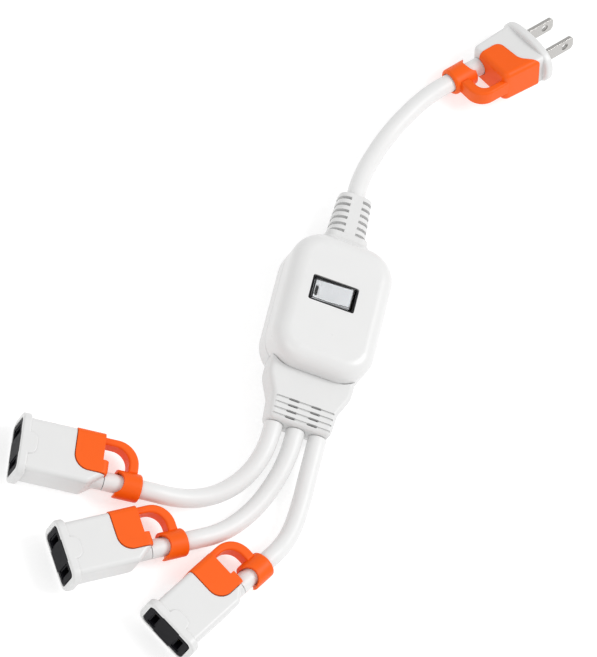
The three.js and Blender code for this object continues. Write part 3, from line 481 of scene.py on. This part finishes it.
def make_screw():
    screw = slab(circle(HEAD_RADIUS, 40), HEAD_LOW, HEAD_TOP, 0.3, 0, steps=4)
    screw = join(screw, slab(circle(SHANK_RADIUS, 24), SHANK_START, SHANK_TIP, 0, 0.5, steps=3))
    reach, width, depth = around(0, CROSS_REACH), around(0, CROSS_HALF_WIDTH), (0, CROSS_TOP)
    return eased(cut(screw, block(reach, width, depth), block(width, reach, depth)), 0.06)


for index, (x, y) in enumerate(SCREW_PLACES):
    finished(moved(make_screw(), x, y), f"back_screw_{index + 1}", ZINC,
             [f"cover_screw_{index + 1}"])


# Switch, measured from the middle of the window in the box's front
SWITCH_PLACE = Matrix.Translation((WINDOW_X, WINDOW_Y, BOX_HEIGHT))
BEZEL_LENGTH, BEZEL_WIDTH = WINDOW_LENGTH - 2 * GAP, WINDOW_WIDTH - 2 * GAP
BEZEL_WALL = 0.45
BEZEL_DEPTH, BEZEL_CORNER = 0.3, 0.8
WELL_LENGTH, WELL_WIDTH = BEZEL_LENGTH - 2 * BEZEL_WALL, BEZEL_WIDTH - 2 * BEZEL_WALL
HOUSING_MARGIN = 2.6
PIVOT_DEPTH, PIVOT_HOLE, PIN_RADIUS, PIN_REACH = 3.8, 1.2, 0.9, 1.3
SWING = math.radians(6)
SWITCH_TOP = -WALL - GAP
HOUSING_DEPTH, HOUSING_FLOOR = 14.6, 4
SWITCH_BOTTOM = SWITCH_TOP - HOUSING_DEPTH
FLOOR_TOP = SWITCH_BOTTOM + HOUSING_FLOOR
TERMINAL_SLOTS, SLOT_HALF_WIDTH, SLOT_HALF_LENGTH = (-6, 0, 6), 0.7, 2.7
ROCKER_HALF = (WELL_LENGTH / 2 - GAP - PIVOT_DEPTH * math.sin(SWING)) * math.cos(SWING)
ROCKER_WIDTH = WELL_WIDTH - 2 * GAP
ROCKER_RISE = ROCKER_HALF * math.tan(SWING)
ROCKER_FOOT = -PIVOT_DEPTH - 1.8
CAP_WALL, CAP_TOP = 0.4, 0.55
PLATE_GAP, PLATE_TOP_GAP, PLATE_FOOT = 0.05, 0.1, -3.2
LAMP_X = -WELL_LENGTH / 2 + 2.4
LAMP_Z = FLOOR_TOP + 4.4
LAMP_RADIUS, LAMP_HALF_LENGTH = 1.4, 2.8
EYE_WIDTH, EYE_LENGTH, EYE_CORNER = 1.5, 5.4, 0.74
ROD_RADIUS, ROD_OFFSET, ROD_FOOT, ROD_TIP = 0.22, 0.42, -2.3, 1.7
LEAD_FOOT, LEAD_TOP, LEAD_PLACE = -4.1, -0.1, -2.1


def make_switch_body():
    """The open housing behind the box's front, with its bezel in the window."""
    bezel = rounded_rectangle(BEZEL_LENGTH, BEZEL_WIDTH, BEZEL_CORNER)
    housing = rounded_rectangle(BEZEL_LENGTH + HOUSING_MARGIN, BEZEL_WIDTH + HOUSING_MARGIN, 1)
    well = rounded_rectangle(WELL_LENGTH, WELL_WIDTH, 0.5, steps=5)
    body = slab(bezel, SWITCH_TOP - 1, -BEZEL_DEPTH, 0, 0.3, steps=4)
    body = join(body, slab(housing, SWITCH_BOTTOM, SWITCH_TOP))
    body = cut(body, slab(well, FLOOR_TOP, 1))
    body = cut(body, moved(slab(circle(PIVOT_HOLE, 24), *EVERYWHERE, axis="Y"), 0, 0, -PIVOT_DEPTH))
    for x in TERMINAL_SLOTS:
        body = cut(body, block(around(x, SLOT_HALF_WIDTH), around(0, SLOT_HALF_LENGTH),
                               (SWITCH_BOTTOM - 1, FLOOR_TOP + 1)))
    return eased(body, 0.12)


def rocker_profile(half, top, foot):
    """The rocker seen from its side: two faces that rise to the ends, meeting in a soft valley."""
    return soft_polygon([
        (-half, top + ROCKER_RISE, 0.35), (-half, foot, 0), (half, foot, 0),
        (half, top + ROCKER_RISE, 0.35), (0, top, 5),
    ], 8)


def make_rocker():
    """The clear cap, hollow from below, on its two pins."""
    half_width = ROCKER_WIDTH / 2
    bar = slab(rocker_profile(ROCKER_HALF, 0, ROCKER_FOOT), -half_width, half_width, 0.25,
               axis="Y", steps=3)
    hollow = slab(rocker_profile(ROCKER_HALF - CAP_WALL, -CAP_TOP, -BEYOND),
                  -half_width + CAP_WALL, half_width - CAP_WALL, axis="Y")
    pin_end = WELL_WIDTH / 2 + PIN_REACH
    pin_root = half_width - CAP_WALL / 2
    pins = [moved(slab(circle(PIN_RADIUS, 24), low, high, 0.15, axis="Y", steps=2), 0, 0, -PIVOT_DEPTH)
            for low, high in ((-pin_end, -pin_root), (pin_root, pin_end))]
    return moved(join(cut(bar, hollow), *pins), 0, 0, PIVOT_DEPTH)


def make_reflector():
    """A pale plate under the clear faces, with a long eye over the lamp."""
    half_length = ROCKER_HALF - CAP_WALL - PLATE_GAP
    half_width = ROCKER_WIDTH / 2 - CAP_WALL - PLATE_GAP
    plate = block(around(0, half_length), around(0, half_width), (PLATE_FOOT, -CAP_TOP - PLATE_TOP_GAP))
    eye = rounded_rectangle(EYE_WIDTH, EYE_LENGTH, EYE_CORNER, LAMP_X, 0)
    return moved(eased(cut(plate, slab(eye, *EVERYWHERE)), 0.15), 0, 0, PIVOT_DEPTH)


def make_electrodes():
    """Two rods along the lamp, each with a lead down to just above the switch's floor."""
    rods = [slab(circle(ROD_RADIUS, 16, side * ROD_OFFSET), ROD_FOOT, ROD_TIP, 0.1, axis="Y", steps=2)
            for side in (-1, 1)]
    leads = [moved(slab(circle(ROD_RADIUS, 12, side * ROD_OFFSET), LEAD_FOOT, LEAD_TOP), 0, LEAD_PLACE)
             for side in (-1, 1)]
    return join(*rods, *leads)


ROCKER_PLACE = (SWITCH_PLACE @ Matrix.Translation((0, 0, -PIVOT_DEPTH))
                @ Matrix.Rotation(-SWING, 4, "Y"))
LAMP_PLACE = SWITCH_PLACE @ Matrix.Translation((LAMP_X, 0, LAMP_Z))
finished(make_switch_body(), "switch_housing", BLACK_SWITCH, ["switch_body"],
         place=SWITCH_PLACE)
finished(make_rocker(), "clear_rocker_cap", CLEAR, ["rocker"], "rocker", ROCKER_PLACE)
# The reflector's finish carries a painted glow that brightens the plate.
finished(make_reflector(), "rocker_reflector", FROSTED_PAINTED_GLOW, [], "rocker", ROCKER_PLACE)
finished(slab(circle(LAMP_RADIUS, 32), -LAMP_HALF_LENGTH, LAMP_HALF_LENGTH, 1.1, 0.5, axis="Y"),
         "lamp_tube", GLASS, ["neon_lamp"], place=LAMP_PLACE)
finished(make_electrodes(), "lamp_electrodes", ELECTRODE, [], place=LAMP_PLACE)


# Ribbed entry at the plug end
TONGUE_DEPTH = 6
FLANGE_LENGTH, FLANGE_SIZE = 2.6, (19.5, 15, 4)
THROAT_LENGTH, THROAT_SIZE = 2.6, (17, 13.8, 3.4)
TONGUE_LAP, THROAT_LAP, RIB_LAP = 1.6, 1.4, 1
RIB_COUNT, RIB_PITCH, RIB_THICKNESS = 6, 3.0, 1.7
RIB_ROOT_WIDTH, RIB_TIP_WIDTH, RIB_FLATTER, RIB_CORNER = 15.4, 13.2, 2.4, 4.6
SIDE_GROOVE, FRONT_GROOVE, CORE_CORNER = 2.1, 1.45, 3
COLUMN_HALF = 2.3
GROOVE_SIZE = (30, 30, 1)
RIB_START = BOX_END + GAP + FLANGE_LENGTH + THROAT_LENGTH
ENTRY_TIP = RIB_START + RIB_COUNT * RIB_PITCH


def make_entry():
    """Ribs that stand out to both sides of a smooth column, on a core around the cord."""
    flange_end = BOX_END + GAP + FLANGE_LENGTH
    entry = join(
        slab(end_outline(ENTRY_TONGUE), BOX_END - TONGUE_DEPTH, flange_end - TONGUE_LAP, axis="Y"),
        slab(end_outline(FLANGE_SIZE), BOX_END + GAP, flange_end, 0.4, 0.9, axis="Y"),
        slab(end_outline(THROAT_SIZE), flange_end - THROAT_LAP, RIB_START, 0, 0.5, axis="Y"),
        tapered(RIB_START - RIB_LAP, ENTRY_TIP, (RIB_ROOT_WIDTH, RIB_ROOT_WIDTH - RIB_FLATTER),
                (RIB_TIP_WIDTH, RIB_TIP_WIDTH - RIB_FLATTER), RIB_CORNER, CORD_HEIGHT),
    )
    half_gap = (RIB_PITCH - RIB_THICKNESS) / 2
    tools = []
    for rib in range(RIB_COUNT):
        middle = RIB_START + rib * RIB_PITCH + half_gap
        width = RIB_ROOT_WIDTH + (RIB_TIP_WIDTH - RIB_ROOT_WIDTH) * rib / (RIB_COUNT - 1)
        core = (width - 2 * SIDE_GROOVE, width - RIB_FLATTER - 2 * FRONT_GROOVE, CORE_CORNER)
        run = around(middle, RIB_PITCH)
        tools.append(cut(
            slab(end_outline(GROOVE_SIZE), *around(middle, half_gap), axis="Y"),
            slab(end_outline(core), *run, axis="Y"),
            block(around(0, COLUMN_HALF), run, EVERYWHERE),
        ))
    return eased(cut(entry, *tools), 0.3, 3)


finished(make_entry(), "ribbed_entry", SOFT_WHITE, ["input_strain_relief"])


# Slotted neck at the socket end
NECK_START = -BOX_END - GAP
NECK_END = NECK_START - 22
NECK_OVERLAP = 7
SHOULDER, SHOULDER_HALF, SHOULDER_CORNER = NECK_START - 3.5, 17.3, 9
WAIST, WAIST_HALF, WAIST_CORNER = NECK_START - 12, 13.6, 3.2
TIP_HALF, TIP_CORNER = 12.8, 2.3
NECK_HALF_HEIGHT, NECK_ROUND = 6, 2.2
OUTLET_PITCH = 9.1
GROOVE_COUNT, GROOVE_PITCH, GROOVE_START = 4, 2.5, 0.75
NECK_GROOVE, NECK_GROOVE_DEPTH = (24, 0.8, 0.38), 0.7
THROUGH_SLOT = (4.2, 1.0, 0.45)


def make_neck():
    back = NECK_START + NECK_OVERLAP
    outline = soft_polygon([
        (SHOULDER_HALF, back, 0), (-SHOULDER_HALF, back, 0),
        (-SHOULDER_HALF, SHOULDER, SHOULDER_CORNER), (-WAIST_HALF, WAIST, WAIST_CORNER),
        (-TIP_HALF, NECK_END, TIP_CORNER), (TIP_HALF, NECK_END, TIP_CORNER),
        (WAIST_HALF, WAIST, WAIST_CORNER), (SHOULDER_HALF, SHOULDER, SHOULDER_CORNER),
    ], 10)
    neck = slab(outline, *around(CORD_HEIGHT, NECK_HALF_HEIGHT), NECK_ROUND)
    neck = cut(neck, box_solid(-GAP, -1, BOX_HEIGHT + 1, 0, 0))
    neck = join(neck, slab(end_outline(NECK_TONGUE), NECK_START - 2, -BOX_END + TONGUE_DEPTH, axis="Y"))
    groove_low, groove_high = around(CORD_HEIGHT, NECK_HALF_HEIGHT - NECK_GROOVE_DEPTH)
    tools = []
    for groove in range(GROOVE_COUNT):
        y = NECK_END + GROOVE_PITCH * (groove + GROOVE_START)
        thin = rounded_rectangle(*NECK_GROOVE, 0, y, 5)
        tools.append(slab(thin, groove_high, BEYOND))
        tools.append(slab(thin, -BEYOND, groove_low))
        for x in around(0, OUTLET_PITCH / 2):
            tools.append(slab(rounded_rectangle(*THROUGH_SLOT, x, y, 5), *EVERYWHERE))
    return eased(cut(neck, *tools), 0.2, 2)


finished(make_neck(), "slotted_neck", SOFT_WHITE, ["output_strain_relief"])


# Parts that the plug and the sockets share
CORD_OFFSET = 5.5
COLLAR_RADIUS = 5.5
SADDLE_DEPTH, SADDLE_HALF, SADDLE_SHIFT = 2.6, 4.1, 0.4
PROUD = 0.4
RING_WALL = 1.4
PITCH = 12.7
STRAP_HALF_HEIGHT, STRAP_LAP, STRAP_TURN = 3.4, 2, 1.35
BODY_CORNER, BODY_EDGE = 2.5, 2.0
BODY_EASE, RING_EASE, PART_EASE = 0.2, 0.28, 0.15


def soft_form(corners, height, grow):
    """A flat moulded body with round corners and edges, grown all round."""
    outline = soft_polygon([(x, y, BODY_CORNER + grow) for x, y in corners], 8)
    return slab(outline, *around(0, height / 2 + grow), BODY_EDGE + grow)


def strap(side_y, thickness, body_end, collar_rear, corner):
    """The loop's bar, from the patch along the side and in to the collar."""
    start = -body_end + STRAP_LAP
    bar_rear = collar_rear - 2
    bar_front = bar_rear - thickness * STRAP_TURN
    inner = CORD_OFFSET - COLLAR_RADIUS + 1
    outline = soft_polygon([
        (start, side_y, 0), (-bar_rear, side_y, corner), (-bar_rear, inner, 0),
        (-bar_front, inner, 0), (-bar_front, side_y + thickness, max(corner - thickness, 2)),
        (start, side_y + thickness, 0),
    ], 10)
    return slab(outline, -STRAP_HALF_HEIGHT, STRAP_HALF_HEIGHT, 1.0, steps=5)


def collar(front, rear):
    """A sleeve whose front edge is hollowed above and below, with a lip on the far side."""
    sleeve = slab(circle(COLLAR_RADIUS, 64, CORD_OFFSET, 0), -rear, -front, 1.1, 0.5, axis="X")
    saddle = [(x - front, y + CORD_OFFSET + SADDLE_SHIFT)
              for x, y in ellipse(SADDLE_DEPTH, SADDLE_HALF)]
    return cut(sleeve, slab(saddle, *EVERYWHERE))


def cord_bore(front, rear):
    return slab(circle(CORD_RADIUS + GAP, 48, CORD_OFFSET, 0), -rear, -front, axis="X")


# Socket ends
SOCKET_SIDE = 21.4 / 2
SOCKET_HEIGHT, SOCKET_END = 15.4, 35
BEVEL_START, BEVEL_WIDTH = 28, 5.4
STEP_END, STEP_SIDE = 32.3, 0.6
SOCKET_FRONT = 1.75
CORD_ROOT_START = 26
SOCKET_PATCH_FRONT, SOCKET_PATCH_CORNER = 21.6, 6
SOCKET_FLANGE, SOCKET_FLANGE_DEPTH = (25.6, 17, 4.5), 3.5
ARCH_FRONT, ARCH_END, ARCH_HALF, ARCH_CORNER, ARCH_RISE = -1, -6.7, 4.5, 3.2, 8.5
INSERT_WIDTH, INSERT_HEIGHT, INSERT_CORNER, INSERT_DEPTH = 20.6, 13, 2, 21
KEY_PLACE, KEY_HALF_WIDTH, KEY_HALF_HEIGHT = 6.5, 4, 0.5
MOUTH_HALF_WIDTH, MOUTH_HALF_HEIGHT, MOUTH_DEPTH = 1.2, 4, 3
CHAMBER_HALF_WIDTH, CHAMBER_HALF_HEIGHT, CHAMBER = 2.2, 4.4, (-19, -2)
FRAME_HALF_WIDTH, FRAME_HALF_HEIGHT, FRAME_DEPTH = 1.9, 4.7, 0.35
SOCKET_COLLAR_FRONT, SOCKET_COLLAR_REAR = 40, 50
SOCKET_STRAP, SOCKET_STRAP_CORNER = 2.9, 9


def socket_form(grow):
    end, side = -SOCKET_END - grow, SOCKET_SIDE + grow
    form = soft_form([
        (end, -side), (BEYOND, -side), (BEYOND, side), (-BEVEL_START, side), (end, side - BEVEL_WIDTH),
    ], SOCKET_HEIGHT, grow)
    step = block((-BEYOND, -STEP_END - grow), (-BEYOND, STEP_SIDE - grow), EVERYWHERE)
    front = block((-SOCKET_FRONT, 2 * BEYOND), EVERYWHERE, EVERYWHERE)
    return cut(form, step, front)


def socket_patch(grow):
    """Where the orange patch lies over the body."""
    front, side = grow - SOCKET_PATCH_FRONT, CORD_OFFSET + grow
    outline = soft_polygon([
        (-BEYOND, -BEYOND, 0), (front, -BEYOND, 0), (front, side, SOCKET_PATCH_CORNER),
        (-BEYOND, side, 0),
    ], 12)
    return slab(outline, *EVERYWHERE)


def insert_outline(grow):
    return rounded_rectangle(INSERT_WIDTH + 2 * grow, INSERT_HEIGHT + 2 * grow, INSERT_CORNER, steps=8)


def insert_key(side, grow, run):
    """The key above or below the insert, along the given run."""
    return block(run, around(0, KEY_HALF_WIDTH + grow), around(side * KEY_PLACE, KEY_HALF_HEIGHT + grow))


def make_socket_body():
    body = eased(cut(socket_form(0), socket_patch(GAP)), BODY_EASE)
    body = join(body, socket_form(-RING_WALL))
    flange = slab(rounded_rectangle(*SOCKET_FLANGE), -SOCKET_FLANGE_DEPTH, 0, 0.9, 0.8, axis="X")
    arch = soft_polygon([
        (ARCH_FRONT, -ARCH_HALF, 0), (ARCH_FRONT, ARCH_HALF, 0),
        (ARCH_END, ARCH_HALF, ARCH_CORNER), (ARCH_END, -ARCH_HALF, ARCH_CORNER),
    ], 10)
    cord_root = slab(circle(CORD_RADIUS, 48, CORD_OFFSET, 0), -SOCKET_END, -CORD_ROOT_START, axis="X")
    body = join(body, flange, slab(arch, -ARCH_RISE, ARCH_RISE, 0.6), cord_root)
    room = (-INSERT_DEPTH - GAP, 1)
    tools = [slab(insert_outline(GAP), *room, axis="X"),
             insert_key(-1, GAP, room), insert_key(1, GAP, room)]
    return eased(cut(body, *tools), PART_EASE)


def make_insert():
    insert = slab(insert_outline(0), -INSERT_DEPTH, 0, 0, 0.35, axis="X", steps=4)
    for side in (-1, 1):
        insert = join(insert, insert_key(side, 0, (-INSERT_DEPTH, -0.02)))
    for side in (-1, 1):
        y = side * PITCH / 2
        insert = cut(
            insert,
            block((-MOUTH_DEPTH, 1), around(y, MOUTH_HALF_WIDTH), around(0, MOUTH_HALF_HEIGHT)),
            block(CHAMBER, around(y, CHAMBER_HALF_WIDTH), around(0, CHAMBER_HALF_HEIGHT)),
            block((-FRAME_DEPTH, 1), around(y, FRAME_HALF_WIDTH), around(0, FRAME_HALF_HEIGHT)),
        )
    return eased(insert, 0.12)


def make_socket_ring():
    ring = common(socket_form(PROUD), socket_patch(0))
    ring = join(
        ring,
        strap(-SOCKET_SIDE - PROUD, SOCKET_STRAP, STEP_END, SOCKET_COLLAR_REAR, SOCKET_STRAP_CORNER),
        collar(SOCKET_COLLAR_FRONT, SOCKET_COLLAR_REAR),
    )
    ring = cut(ring, socket_form(GAP - RING_WALL), cord_bore(STEP_END - 1, SOCKET_COLLAR_REAR + 1))
    return eased(ring, RING_EASE, 3)


# Plug
PLUG_END, PLUG_HEIGHT = 22, 14.6
PLUG_REAR_HALF, PLUG_FRONT_HALF = 10.5, 12
PLUG_FRONT = 1.7
PLUG_FLANGE, PLUG_FLANGE_DEPTH = (14.5, 9.5, 2.6), 3.4
POCKET, POCKET_DEPTH = (19.6, 9.6, 3), 7.3
BRIDGE, BRIDGE_DEPTH = (19, 9, 3), 7
BLADE_ROOM_HALF, BLADE_ROOM_HALF_HEIGHT = 1.05, 3.475
BODY_ROOM, BRIDGE_ROOM = 9.6, 8
BLADE_ROOT, BLADE_TIP, BLADE_HALF, BLADE_THICKNESS, BLADE_CORNER = -9, 16.5, 3.175, 1.5, 1.3
BLADE_HOLE_PLACE, BLADE_HOLE_RADIUS = 11.9, 1.55
BLADE_SOFTNESS = 0.8
TIP_TAPER_START, TIP_TAPER_INNER, TIP_TAPER_OUTER = 14.6, 0.45, 0.9
PLUG_COLLAR_FRONT, PLUG_COLLAR_REAR = 27, 37.5
PLUG_STRAP, PLUG_STRAP_CORNER = 3.1, 7


def plug_form(grow):
    rear = PLUG_REAR_HALF + grow
    front = PLUG_FRONT_HALF + grow + (PLUG_FRONT_HALF - PLUG_REAR_HALF)
    form = soft_form([
        (-PLUG_END - grow, -rear), (PLUG_END, -front), (PLUG_END, front), (-PLUG_END - grow, rear),
    ], PLUG_HEIGHT, grow)
    return cut(form, block((-PLUG_FRONT, BEYOND), EVERYWHERE, EVERYWHERE))


def plug_patch(grow):
    """Where the orange patch lies over the body, its front edge in a slow S."""
    outline = soft_polygon([
        (-BEYOND, -BEYOND, 0), (-5.5 + grow, -BEYOND, 0), (-5.5 + grow, -12, 0),
        (-11.5 + grow, -6, 6), (-12.5 + grow, CORD_OFFSET + grow, 3), (-BEYOND, CORD_OFFSET + grow, 0),
    ], 12)
    return slab(outline, *EVERYWHERE)


def blade_room(side, reach):
    """The room that a blade's root needs, to a depth of reach."""
    return block((-reach, 1), around(side * PITCH / 2, BLADE_ROOM_HALF), around(0, BLADE_ROOM_HALF_HEIGHT))


def make_plug_body():
    body = eased(cut(plug_form(0), plug_patch(GAP)), BODY_EASE)
    flange = slab(ellipse(*PLUG_FLANGE), -PLUG_FLANGE_DEPTH, 0, 1.2, 0.9, axis="X")
    body = join(body, plug_form(-RING_WALL), flange)
    pocket = slab(rounded_rectangle(*POCKET), -POCKET_DEPTH, 1, axis="X")
    return eased(cut(body, pocket, blade_room(-1, BODY_ROOM), blade_room(1, BODY_ROOM)), PART_EASE)


def make_plug_bridge():
    bridge = slab(rounded_rectangle(*BRIDGE), -BRIDGE_DEPTH, 0, 0, 0.3, axis="X", steps=3)
    return eased(cut(bridge, blade_room(-1, BRIDGE_ROOM), blade_room(1, BRIDGE_ROOM)), 0.1)


def make_blade(side):
    shoulder, nose = BLADE_TIP - BLADE_CORNER, BLADE_HALF - BLADE_CORNER
    outline = soft_polygon([
        (BLADE_ROOT, -BLADE_HALF, 0), (shoulder, -BLADE_HALF, BLADE_SOFTNESS),
        (BLADE_TIP, -nose, BLADE_SOFTNESS), (BLADE_TIP, nose, BLADE_SOFTNESS),
        (shoulder, BLADE_HALF, BLADE_SOFTNESS), (BLADE_ROOT, BLADE_HALF, 0),
    ], 4)
    blade = slab(outline, *around(0, BLADE_THICKNESS / 2), 0.12, axis="Y", steps=2)
    hole = slab(circle(BLADE_HOLE_RADIUS, 40, BLADE_HOLE_PLACE, 0), -2, 2, axis="Y")
    past_tip = BLADE_TIP + 0.5
    wedge = [(TIP_TAPER_START, -TIP_TAPER_OUTER), (past_tip, -TIP_TAPER_OUTER),
             (past_tip, -TIP_TAPER_INNER)]
    blade = cut(blade, hole, slab(wedge, -4, 4), slab([(x, -y) for x, y in wedge], -4, 4))
    return moved(eased(blade, 0.1), 0, side * PITCH / 2)


def make_plug_ring():
    ring = common(plug_form(PROUD), plug_patch(0))
    ring = join(
        ring,
        strap(-PLUG_REAR_HALF - PROUD, PLUG_STRAP, PLUG_END, PLUG_COLLAR_REAR, PLUG_STRAP_CORNER),
        collar(PLUG_COLLAR_FRONT, PLUG_COLLAR_REAR),
    )
    ring = cut(ring, plug_form(GAP - RING_WALL), cord_bore(PLUG_END - 1, PLUG_COLLAR_REAR + 1))
    return eased(ring, RING_EASE, 3)


# Places of the plug and the sockets, as they lie on the table
PLUG_HEIGHT_UP, PLUG_PITCH_UP, PLUG_ROLL = 11.44635, 3.02821, -24
SOCKET_HEIGHT_UP, SOCKET_PITCH_UP = 8.59384, 0.80978


def lying(x, y, height, turn, pitch, roll, collar_rear):
    """The place of a plug or socket whose cord enters its collar above (x, y)."""
    turned = (Matrix.Rotation(math.radians(turn), 4, "Z") @ Matrix.Rotation(-math.radians(pitch), 4, "Y")
              @ Matrix.Rotation(math.radians(roll), 4, "X"))
    entry = turned @ Vector((-collar_rear, CORD_OFFSET, 0))
    return Matrix.Translation((x - entry.x, y - entry.y, height)) @ turned


PLUG_PLACE = lying(26.2, 118.1, PLUG_HEIGHT_UP, 49.2, PLUG_PITCH_UP, PLUG_ROLL, PLUG_COLLAR_REAR)
SOCKET_PLACES = [
    lying(x, y, SOCKET_HEIGHT_UP, turn, SOCKET_PITCH_UP, 0, SOCKET_COLLAR_REAR)
    for x, y, turn in ((-52.6, -94.4, 187.1), (-30.6, -108.8, 213), (1.4, -106.3, 239.5))
]

plug_pieces = [
    finished(make_plug_body(), "plug_moulding", WHITE_MOULDING, ["plug_body"],
             place=PLUG_PLACE),
    finished(make_plug_bridge(), "plug_face", SOFT_WHITE, ["plug_bridge"],
             place=PLUG_PLACE),
    finished(make_plug_ring(), "plug_ring", ORANGE, ["plug_pull_ring"],
             place=PLUG_PLACE),
]
for side, name in ((-1, "left"), (1, "right")):
    plug_pieces.append(finished(make_blade(side), f"blade_{name}", NICKEL,
                                [f"plug_blade_{name}"], place=PLUG_PLACE))

socket_body, socket_insert, socket_ring = make_socket_body(), make_insert(), make_socket_ring()
socket_pieces = []
for number, place in enumerate(SOCKET_PLACES, 1):
    socket_pieces.append([
        finished(copied(socket_body), f"socket_{number}_moulding", WHITE_MOULDING,
                 [f"socket_body_{number}"], place=place),
        finished(copied(socket_insert), f"socket_{number}_insert", BLACK_INSERT,
                 [f"socket_face_{number}"], place=place),
        finished(copied(socket_ring), f"socket_{number}_ring", ORANGE,
                 [f"socket_pull_ring_{number}"], place=place),
    ])
for form in (socket_body, socket_insert, socket_ring):
    bpy.data.objects.remove(form)


# Cords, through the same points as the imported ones
PLUG_RUN = [
    (0.3, 60.2, 9.5), (1.7, 67.9, 8.1), (4.0, 76.4, 6.5), (7.0, 85.4, 5.3), (10.7, 94.3, 4.9),
    (14.9, 102.6, 5.3), (18.8, 109.0, 6.1),
]
SOCKET_RUNS = [
    [(-9.6, -61.6, 9.3), (-11.9, -70.2, 7.8), (-15.8, -77.3, 6.3), (-21.0, -83.1, 5.3),
     (-27.2, -87.5, 5.0), (-34.2, -90.7, 5.6), (-40.8, -92.6, 6.7)],
    [(-0.2, -60.2, 9.4), (-1.3, -68.2, 8.0), (-3.4, -76.0, 6.4), (-6.3, -83.4, 5.4),
     (-10.3, -90.4, 5.0), (-15.2, -96.8, 5.6), (-20.4, -101.8, 6.7)],
    [(9.2, -59.7, 9.5), (9.4, -66.8, 8.4), (9.7, -73.6, 7.3), (9.7, -80.0, 6.5),
     (9.3, -86.2, 6.2), (8.2, -92.1, 6.5), (6.5, -97.0, 7.0)],
]
STRAIGHT_EXIT, STRAIGHT_ENTRY = 3, 6


def cord_route(exit_point, direction, run, place, body_end, collar_front, collar_rear):
    """Straight out of its strain relief, along the run, and through the collar to the body."""
    x, y, z = exit_point
    ends = [tuple(place @ Vector((-back, CORD_OFFSET, 0)))
            for back in (collar_rear + STRAIGHT_ENTRY, collar_rear, collar_front, body_end + GAP)]
    return [Vector(p) for p in (exit_point, (x, y + STRAIGHT_EXIT * direction, z), *run, *ends)]


def smooth_line(points, steps=8):
    """A centripetal Catmull-Rom curve through the points."""
    padded = [points[0] * 2 - points[1], *points, points[-1] * 2 - points[-2]]
    line = []
    for i in range(len(points) - 1):
        p0, p1, p2, p3 = padded[i:i + 4]
        d0, d1, d2 = ((a - b).length ** 0.5 for a, b in ((p1, p0), (p2, p1), (p3, p2)))
        t1 = ((p1 - p0) / d0 - (p2 - p0) / (d0 + d1) + (p2 - p1) / d1) * d1
        t2 = ((p2 - p1) / d1 - (p3 - p1) / (d1 + d2) + (p3 - p2) / d2) * d1
        square = p2 * 3 - p1 * 3 - t1 * 2 - t2
        cube = p1 * 2 - p2 * 2 + t1 + t2
        for k in range(steps):
            t = k / steps
            line.append(p1 + t1 * t + square * t ** 2 + cube * t ** 3)
    return [*line, points[-1]]


def make_cord(name, node, route):
    line = [p * MM for p in smooth_line(route)]
    data = bpy.data.curves.new(name, "CURVE")
    data.dimensions = "3D"
    spline = data.splines.new("POLY")
    spline.points.add(len(line) - 1)
    for point, co in zip(spline.points, line):
        point.co = (*co, 1)
    spline.use_smooth = True
    data.bevel_depth = CORD_RADIUS * MM
    data.bevel_resolution = 10
    data.use_fill_caps = True
    data.materials.append(CORD_WHITE)
    cord = linked(name, data)
    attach(cord, "splitter")
    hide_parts(node)


make_cord("cord_to_plug", "input_cord",
          cord_route((0, ENTRY_TIP + GAP, CORD_HEIGHT), 1, PLUG_RUN, PLUG_PLACE,
                     PLUG_END, PLUG_COLLAR_FRONT, PLUG_COLLAR_REAR))
for number, (run, place, pieces) in enumerate(zip(SOCKET_RUNS, SOCKET_PLACES, socket_pieces), 1):
    exit_point = ((number - 2) * OUTLET_PITCH, NECK_END - GAP, CORD_HEIGHT)
    make_cord(f"cord_to_socket_{number}", f"output_cord_{number}",
              cord_route(exit_point, -1, run, place,
                         SOCKET_END, SOCKET_COLLAR_FRONT, SOCKET_COLLAR_REAR))


# Carried metal parts and wires
CARRIED = {
    "contact": BRASS, "terminal": BRASS, "bimetal": BRASS, "bus": BRASS,
    "live_wire": BROWN, "load_wire": BROWN, "neutral_wire": BLUE, "lamp_wire": BLUE,
}
for name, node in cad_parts.items():
    for word, material in CARRIED.items():
        if word in name:
            for place in node.material_slots:
                place.material = material


# Studio, in metres
FLOOR_HALF, FLOOR_DROP = 3.0, 0.0002
WORLD_STRENGTH = 0.75


def make_floor():
    mesh = bpy.data.meshes.new("studio_floor")
    corners = [(sx * FLOOR_HALF, sy * FLOOR_HALF, 0) for sx, sy in ((-1, -1), (1, -1), (1, 1), (-1, 1))]
    mesh.from_pydata(corners, [], [(0, 1, 2, 3)])
    floor = linked("studio_floor", mesh)
    floor.location.z = -FLOOR_DROP
    mesh.materials.append(shader("studio_white", (0.55, 0.55, 0.55), 0.8, grain=200, bump=0.0,
                                 mottle=0.002, specular=0.1, glow=0.55))


def add_light(name, place, size, power):
    """A round soft light that faces the box."""
    data = bpy.data.lights.new(name, "AREA")
    data.shape = "DISK"
    data.size = size
    data.energy = power
    light = bpy.data.objects.new(name, data)
    bpy.context.scene.collection.objects.link(light)
    light.location = place
    light.rotation_euler = (-Vector(place)).to_track_quat("-Z", "Y").to_euler()


make_floor()
world = bpy.data.worlds.new("studio")
bpy.context.scene.world = world
world.use_nodes = True
background = world.node_tree.nodes["Background"]
background.inputs["Color"].default_value = (1, 1, 1, 1)
background.inputs["Strength"].default_value = WORLD_STRENGTH
bpy.context.scene.view_settings.view_transform = "Standard"
add_light("key", (1.0, 0.3, 1.4), 0.8, 13)
add_light("fill", (-0.7, -0.9, 1.3), 1.0, 4)
